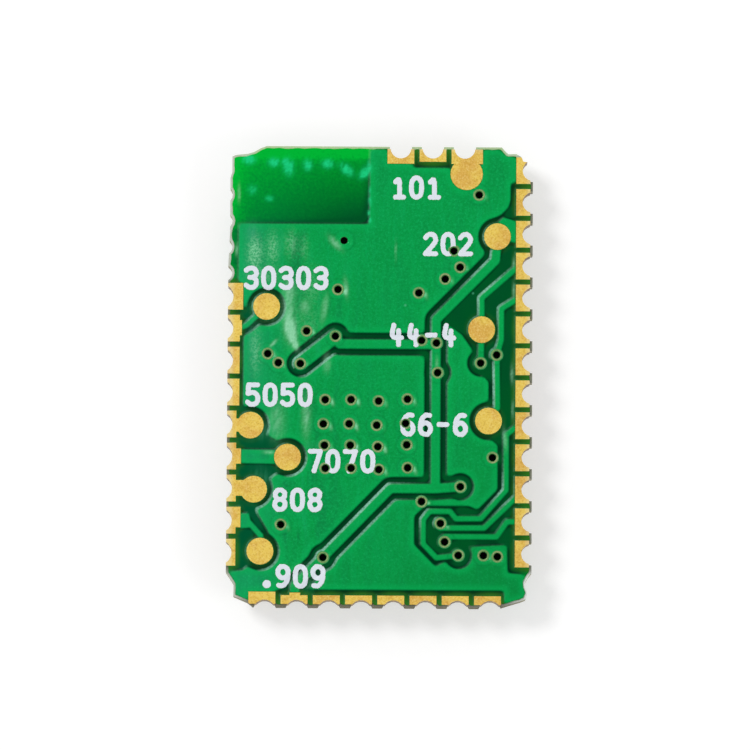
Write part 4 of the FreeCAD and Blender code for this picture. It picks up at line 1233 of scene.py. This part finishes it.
def light_from_edge(xs, ys, board):
    """Light that enters the laminate from its edge, by the distance to the board's edge.

    It is strong in the corner that has no copper, where it grows towards the upper and the
    left edge and fades towards the lower right, and weak elsewhere.
    """
    x, y = np.meshgrid(xs, ys)
    bare = (x < BARE_CORNER[0] + 0.2) & (y > BARE_CORNER[1] - 0.2)
    rise = np.clip((y - BARE_CORNER[1]) / (TOP - BARE_CORNER[1]), 0, 1)
    across = np.clip((x - LEFT) / (BARE_CORNER[0] - LEFT), 0, 1)
    lit = 0.22 + 0.46 * rise + 0.22 * (1 - across) ** 2
    lit += 0.55 * bell(1 - rise, 0.17, 4)
    lit += 0.42 * bell(across, 0.09) - 0.30 * across * (1 - rise)
    lit -= 0.20 * bell(rise, 0.05)
    lit -= 0.22 * bell(1 - across, 0.035) * (rise < 0.85)
    upper_left = (x < LEFT + 0.7) & (y > BOTTOM + 12.6)
    elsewhere = 0.34 * bell(np.clip(board, 0, None), 0.25) + 0.12 * upper_left
    return np.where(bare, np.clip(lit, 0.0, 1.1), elsewhere)


def pale_slopes(xs, ys, copper):
    """Painted highlight on the slopes that face the upper left, strongest at the listed places."""
    climb_up, climb_right = np.gradient(copper, ys, xs)
    facing = 0.88 * climb_right - 0.47 * climb_up
    amount = np.clip(0.10 + spots(xs, ys, PALE_EDGES), 0, 1)
    return np.clip((facing - 0.3) / 0.5, 0, 1) * amount


def drops_at_vias(xs, ys, copper):
    """Drop-shaped painted highlights at the right of the vias, in random amounts, only over
    copper.
    """
    amounts = np.random.default_rng(6).uniform(-0.2, 1.1, len(VIAS)).clip(0)
    drops = [(x + 0.27, y - 0.08, 0.06, 0.13, 0.3, much) for (x, y), much in zip(VIAS, amounts)]
    return spots(xs, ys, drops) * smooth_step(copper / 0.06)


class MODULE_OT_mask(bpy.types.Operator):
    """Lays the solder mask over the pad side"""

    bl_idname = "module.mask"
    bl_label = "Pad side mask"

    def execute(self, context):
        settings = context.scene.module_mask
        xs = grid(LEFT, RIGHT, settings.pitch)
        ys = grid(BOTTOM, TOP, settings.pitch)
        level, copper, via = mask_level(xs, ys, settings)
        board = distance_to(xs, ys, OUTER_EDGES, 0.5)
        pads = -pad_distance(xs, ys)
        outline = board - settings.edge_inset + 0.02 * ripple(xs, ys, 0.5, 5)
        # The covered via has no open land: the mask reaches its bore
        covered = to_points(xs, ys, [COVERED_VIA], 0.5)
        opening = np.where(covered < COVERED_REACH, covered - COVERED_OPENING, via)
        field = np.minimum(np.minimum(outline, pads), opening)

        rough = ripple(xs, ys * 0.4, 0.16, 8) + 0.6 * ripple(xs, ys, 0.11, 9)
        # Flux streaks, with the painted highlights at the vias added in
        streaks_and_glints = spots(xs, ys, STREAKS) + drops_at_vias(xs, ys, copper)
        marks = {
            "pale": pale_slopes(xs, ys, copper),
            "narrow": softened((copper > 0).astype(float), settings.pitch, 0.17),
            "strip": np.clip(1.3 - board / 0.45, 0, 1) * np.clip(1.6 - pads / 0.14, 0, 1),
            "copper": copper,
            "lit": light_from_edge(xs, ys, board),
            "via": via,
            "streak": np.clip(streaks_and_glints * (1 + 0.35 * rough), 0, 1),
            "haze": np.clip(spots(xs, ys, HAZES) * (1 + 0.3 * rough), 0, 1),
            "powder": np.clip(spots(xs, ys, POWDER), 0, 1),
            "blotches_and_glints": np.clip(spots(xs, ys, BLOTCHES) * (1.8 + 0.8 * rough), 0, 1),
        }
        cut = cut_grid(xs, ys, field, level, BOARD_TOP - 0.002, marks.values())
        material = mask_material(settings)
        new_film("solder_mask_film", cut, marks, material)
        paint(COPPER_NODES, material)
        return {"FINISHED"}


class MODULE_OT_under_mask(bpy.types.Operator):
    """Lays the solder mask over the part side, open at the lands"""

    bl_idname = "module.under_mask"
    bl_label = "Part side mask"

    def execute(self, context):
        settings = context.scene.module_mask
        xs = grid(LEFT, RIGHT, settings.under_pitch)
        ys = grid(BOTTOM, TOP, settings.under_pitch)
        edges = [face_edges(node, BOARD_LOW) for node in UNDER_NODES]
        # Mask to land, copper to land, how much copper lifts the film, and the depth of a dimple
        opening, clearance, lift, dimple = 0.06, 0.22, 0.004, 0.010
        lands = -np.max([distance_to(xs, ys, border, 0.5) for border in edges], axis=0)
        board = distance_to(xs, ys, OUTER_EDGES, 0.5)
        field = np.minimum(board - settings.edge_inset, lands - opening)
        # A plain field of copper lies a little away from the lands and outside the bare corner
        x, y = np.meshgrid(xs, ys)
        outside = np.maximum(x - BARE_CORNER[0], BARE_CORNER[1] - y)
        copper = np.clip(np.minimum(lands - clearance, outside), -0.35, 0.35)
        # The mask is closed over the vias, with a dimple in the middle of each
        middle = to_points(xs, ys, VIAS, 0.6)
        level = BOARD_LOW - settings.film - lift * np.clip(copper / 0.1, 0, 1)
        level += dimple * bell(middle, 0.12)
        marks = {
            "copper": copper,
            "lit": 0.35 * (outside < 0) + 0.3 * bell(np.clip(board, 0, None), 0.25),
            "via": middle - settings.via_opening,
        }
        points, faces, channels = cut_grid(
            xs, ys, field, level, BOARD_LOW + 0.002, marks.values()
        )
        downwards = (points, [face[::-1] for face in faces], channels)
        material = bpy.data.objects["solder_mask_film"].data.materials[0]
        new_film("part_side_mask_film", downwards, marks, material)
        return {"FINISHED"}


class MODULE_OT_numbers(bpy.types.Operator):
    """Prints the plain numbers beside the probe pads"""

    bl_idname = "module.numbers"
    bl_label = "Printed numbers"

    def execute(self, context):
        settings = context.scene.module_print
        mask = context.scene.module_mask
        drawn = [(number_strokes(*number, settings), settings.stroke) for number in NUMBERS]
        dot = np.array([[CORNER_DOT, (CORNER_DOT[0] + 0.01, CORNER_DOT[1])]])
        drawn.append((dot, settings.stroke * 1.65))
        points = []
        faces = []
        count = 0
        for seed, (strokes, width) in enumerate(drawn):
            made, polygons, _ = ink_film(strokes, width, seed, settings, mask)
            points.append(made)
            faces += [[index + count for index in face] for face in polygons]
            count += len(made)
        points = np.concatenate(points)
        new_mesh("printed_numbers", points, faces, ink_material(settings))
        return {"FINISHED"}


class MODULE_OT_vias(bpy.types.Operator):
    """Lines the bores of the vias and lays their rings"""

    bl_idname = "module.vias"
    bl_label = "Vias"

    def execute(self, context):
        settings = context.scene.module_metal
        top = COPPER_TOP + 0.004
        ringed = VIAS[np.hypot(*(VIAS - COVERED_VIA).T) > COVERED_REACH]
        # Radius and level of each profile, from the outer rim inwards
        ring = [
            (0.262, COPPER_TOP - 0.03),
            (0.258, top - 0.003),
            (0.245, top),
            (0.185, top + 0.001),
            (0.158, top - 0.003),
            (0.143, top - 0.012),
            (0.139, COPPER_TOP - 0.04),
        ]
        points, faces, radius = revolve(ringed, ring, 32)
        item = new_mesh("via_lands", points, faces, ring_material(settings))
        set_attribute(item, "radius", radius)
        barrel = [
            (0.150, COPPER_TOP - 0.006),
            (0.141, COPPER_TOP - 0.02),
            (0.138, BOARD_TOP - 0.2),
            (0.136, BOARD_LOW + 0.12),
            (0.110, BOARD_LOW + 0.05),
            (0.0, BOARD_LOW + 0.04),
        ]
        points, faces, _ = revolve(VIAS, barrel, 24)
        new_mesh("via_barrels", points, faces, barrel_material())
        return {"FINISHED"}


class MODULE_OT_board(bpy.types.Operator):
    """Gives the laminate its cut and broken edges"""

    bl_idname = "module.board"
    bl_label = "Board"

    def execute(self, context):
        paint(["laminate_board"], laminate_material())
        return {"FINISHED"}


class MODULE_OT_pads(bpy.types.Operator):
    """Gilds the castellated pads and the probe pads"""

    bl_idname = "module.pads"
    bl_label = "Gold pads"

    def execute(self, context):
        paint(PAD_NODES, gold_material(context.scene.module_metal))
        return {"FINISHED"}


TINNED_NODES = [
    "radio_chip_leads",
    "radio_chip_ground_pad",
    "antenna_terminals",
    "balun_terminals",
    "capacitor_terminals",
    "coil_terminals",
    "resistor_terminals",
    "component_lands",
    "solder_fillets",
]
# Colour, second shade and roughness of each moulded or fired body
CERAMICS = {
    "radio_chip_package": ((0.022, 0.022, 0.024), (0.045, 0.045, 0.047), 0.55),
    "antenna_block": ((0.70, 0.72, 0.70), (0.56, 0.60, 0.60), 0.6),
    "main_crystal_base": ((0.14, 0.09, 0.06), (0.08, 0.05, 0.035), 0.6),
    "clock_crystal_base": ((0.14, 0.09, 0.06), (0.08, 0.05, 0.035), 0.6),
    "balun_body": ((0.72, 0.71, 0.66), (0.58, 0.57, 0.50), 0.55),
    "capacitor_bodies": ((0.44, 0.30, 0.18), (0.32, 0.21, 0.12), 0.5),
    "coil_bodies": ((0.30, 0.32, 0.36), (0.20, 0.22, 0.26), 0.5),
    "resistor_bodies": ((0.025, 0.025, 0.026), (0.05, 0.05, 0.052), 0.35),
}


class MODULE_OT_parts(bpy.types.Operator):
    """Finishes the chip, the antenna, the crystals and the small parts"""

    bl_idname = "module.parts"
    bl_label = "Parts on the underside"

    def execute(self, context):
        tin = tuple(context.scene.module_metal.tin)
        paint(TINNED_NODES, dull_metal("tin and solder", tin, (0.45, 0.45, 0.44), 0.4))
        lid = dull_metal("crystal lid", (0.66, 0.64, 0.58), (0.50, 0.48, 0.42), 0.32)
        paint(["main_crystal_lid", "clock_crystal_lid"], lid)
        for node, (colour, shade, rough) in CERAMICS.items():
            name = node.replace("_", " ") + " finish"
            paint([node], ceramic_material(name, colour, shade, rough))
        return {"FINISHED"}


def floor_material(settings):
    """Pale floor: it takes the shadow, and what the camera sees of it is close to white.

    The softboxes reach less of it further out, so its glow grows with the distance there.
    """
    material, shader, wiring = new_material("pale floor")
    place = wiring.place()
    paths = wiring.add("ShaderNodeLightPath").outputs
    seen = wiring.math("MAXIMUM", paths["Is Camera Ray"], paths["Is Glossy Ray"])
    far = wiring.add("ShaderNodeVectorMath", {"Vector": place}, operation="LENGTH")
    darker = tuple(0.985 * value for value in settings.floor)
    feed(
        wiring,
        shader,
        base_color=wiring.mix(wiring.noise(place, 300.0, 2.0), settings.floor, darker),
        roughness=0.9,
        specular_ior_level=0.0,
        emission_color=WHITE,
        emission_strength=wiring.product(
            seen, wiring.ramp(far.outputs["Value"], 0.10, 0.45, 0.47, 0.80)
        ),
    )
    return material


def studio_world(settings):
    """White surround that is dimmer straight above, so that the mask keeps its colour."""
    world = bpy.data.worlds.new("studio")
    world.use_nodes = True
    wiring = Wiring(world.node_tree)
    height = wiring.parts(wiring.add("ShaderNodeTexCoord").outputs["Generated"])["Z"]
    strength = wiring.ramp(height, 0.45, 0.98, settings.surround, settings.above)
    seen = wiring.add("ShaderNodeLightPath").outputs["Is Camera Ray"]
    background = world.node_tree.nodes["Background"]
    feed(wiring, background, color=WHITE, strength=wiring.math("MAXIMUM", strength, seen))
    return world


def plane(name, width, level, material):
    """Square on the stage."""
    corners = [(-1, -1), (1, -1), (1, 1), (-1, 1)]
    points = [(x * width / 2, y * width / 2, level) for x, y in corners]
    mesh = bpy.data.meshes.new(name)
    mesh.from_pydata(points, [], [(0, 1, 2, 3)])
    mesh.materials.append(material)
    item = bpy.data.objects.new(name, mesh)
    bpy.context.scene.collection.objects.link(item)


def softbox(name, place, target, size, power):
    """Square area light aimed at a point."""
    light = bpy.data.lights.new(name, "AREA")
    light.shape = "SQUARE"
    light.size = size
    light.energy = power
    item = bpy.data.objects.new(name, light)
    item.location = place
    item.rotation_euler = (Vector(target) - Vector(place)).to_track_quat("-Z", "Y").to_euler()
    bpy.context.scene.collection.objects.link(item)


def aimed_camera(settings):
    """Camera at a distance and height from the middle of the picture, turned by the roll."""
    centre = Vector((-0.00019, 0.00005, 0.0017))
    back = Vector((0.0, -math.cos(settings.elevation), math.sin(settings.elevation)))
    camera = bpy.data.cameras.new("camera")
    camera.sensor_width = 36.0
    camera.lens = camera.sensor_width * settings.distance / settings.view_width
    camera.clip_start = 0.01
    camera.clip_end = 10.0
    item = bpy.data.objects.new("camera", camera)
    item.location = centre + back * settings.distance
    turn = (-back).to_track_quat("-Z", "Y").to_matrix()
    roll = Matrix.Rotation(settings.roll, 3, "Z")
    item.rotation_euler = (turn @ roll).to_euler()
    bpy.context.scene.collection.objects.link(item)
    return item


class MODULE_OT_stage(bpy.types.Operator):
    """Sets the floor, the lights and the camera"""

    bl_idname = "module.stage"
    bl_label = "Stage"

    def execute(self, context):
        settings = context.scene.module_stage
        scene = context.scene
        plane("floor", 1.2, 0.0, floor_material(settings))
        scene.world = studio_world(settings)
        softbox("softbox left", (-0.20, 0.14, 0.30), (0, 0, 0), 0.11, settings.key)
        softbox("softbox right", (0.28, -0.12, 0.22), (0, 0, 0), 0.16, settings.key * 0.35)
        scene.camera = aimed_camera(settings)
        scene.view_settings.view_transform = "Standard"
        return {"FINISHED"}


class MODULE_PT_panel(bpy.types.Panel):
    """Lists the steps of the dressing"""

    bl_idname = "MODULE_PT_panel"
    bl_label = "Radio module"
    bl_space_type = "VIEW_3D"
    bl_region_type = "UI"
    bl_category = "Module"

    def draw(self, context):
        for step in STEPS:
            self.layout.operator(step.bl_idname)
        for name in SETTINGS:
            group = getattr(context.scene, name)
            for key in group.bl_rna.properties.keys():
                if key not in ("rna_type", "name"):
                    self.layout.prop(group, key)


STEPS = [
    MODULE_OT_board,
    MODULE_OT_mask,
    MODULE_OT_under_mask,
    MODULE_OT_vias,
    MODULE_OT_pads,
    MODULE_OT_numbers,
    MODULE_OT_parts,
    MODULE_OT_stage,
]
SETTINGS = {
    "module_mask": MaskSettings,
    "module_print": PrintSettings,
    "module_metal": MetalSettings,
    "module_stage": StageSettings,
}


def register():
    """Registers the settings, the steps and the panel."""
    for kind in (*SETTINGS.values(), *STEPS, MODULE_PT_panel):
        bpy.utils.register_class(kind)
    for name, kind in SETTINGS.items():
        setattr(bpy.types.Scene, name, PointerProperty(type=kind))


def unregister():
    """Takes everything back out."""
    for name in SETTINGS:
        delattr(bpy.types.Scene, name)
    for kind in (MODULE_PT_panel, *reversed(STEPS), *reversed(SETTINGS.values())):
        bpy.utils.unregister_class(kind)


def main():
    register()
    for step in STEPS:
        area, name = step.bl_idname.split(".")
        getattr(getattr(bpy.ops, area), name)()


if __name__ == "__main__":
    main()
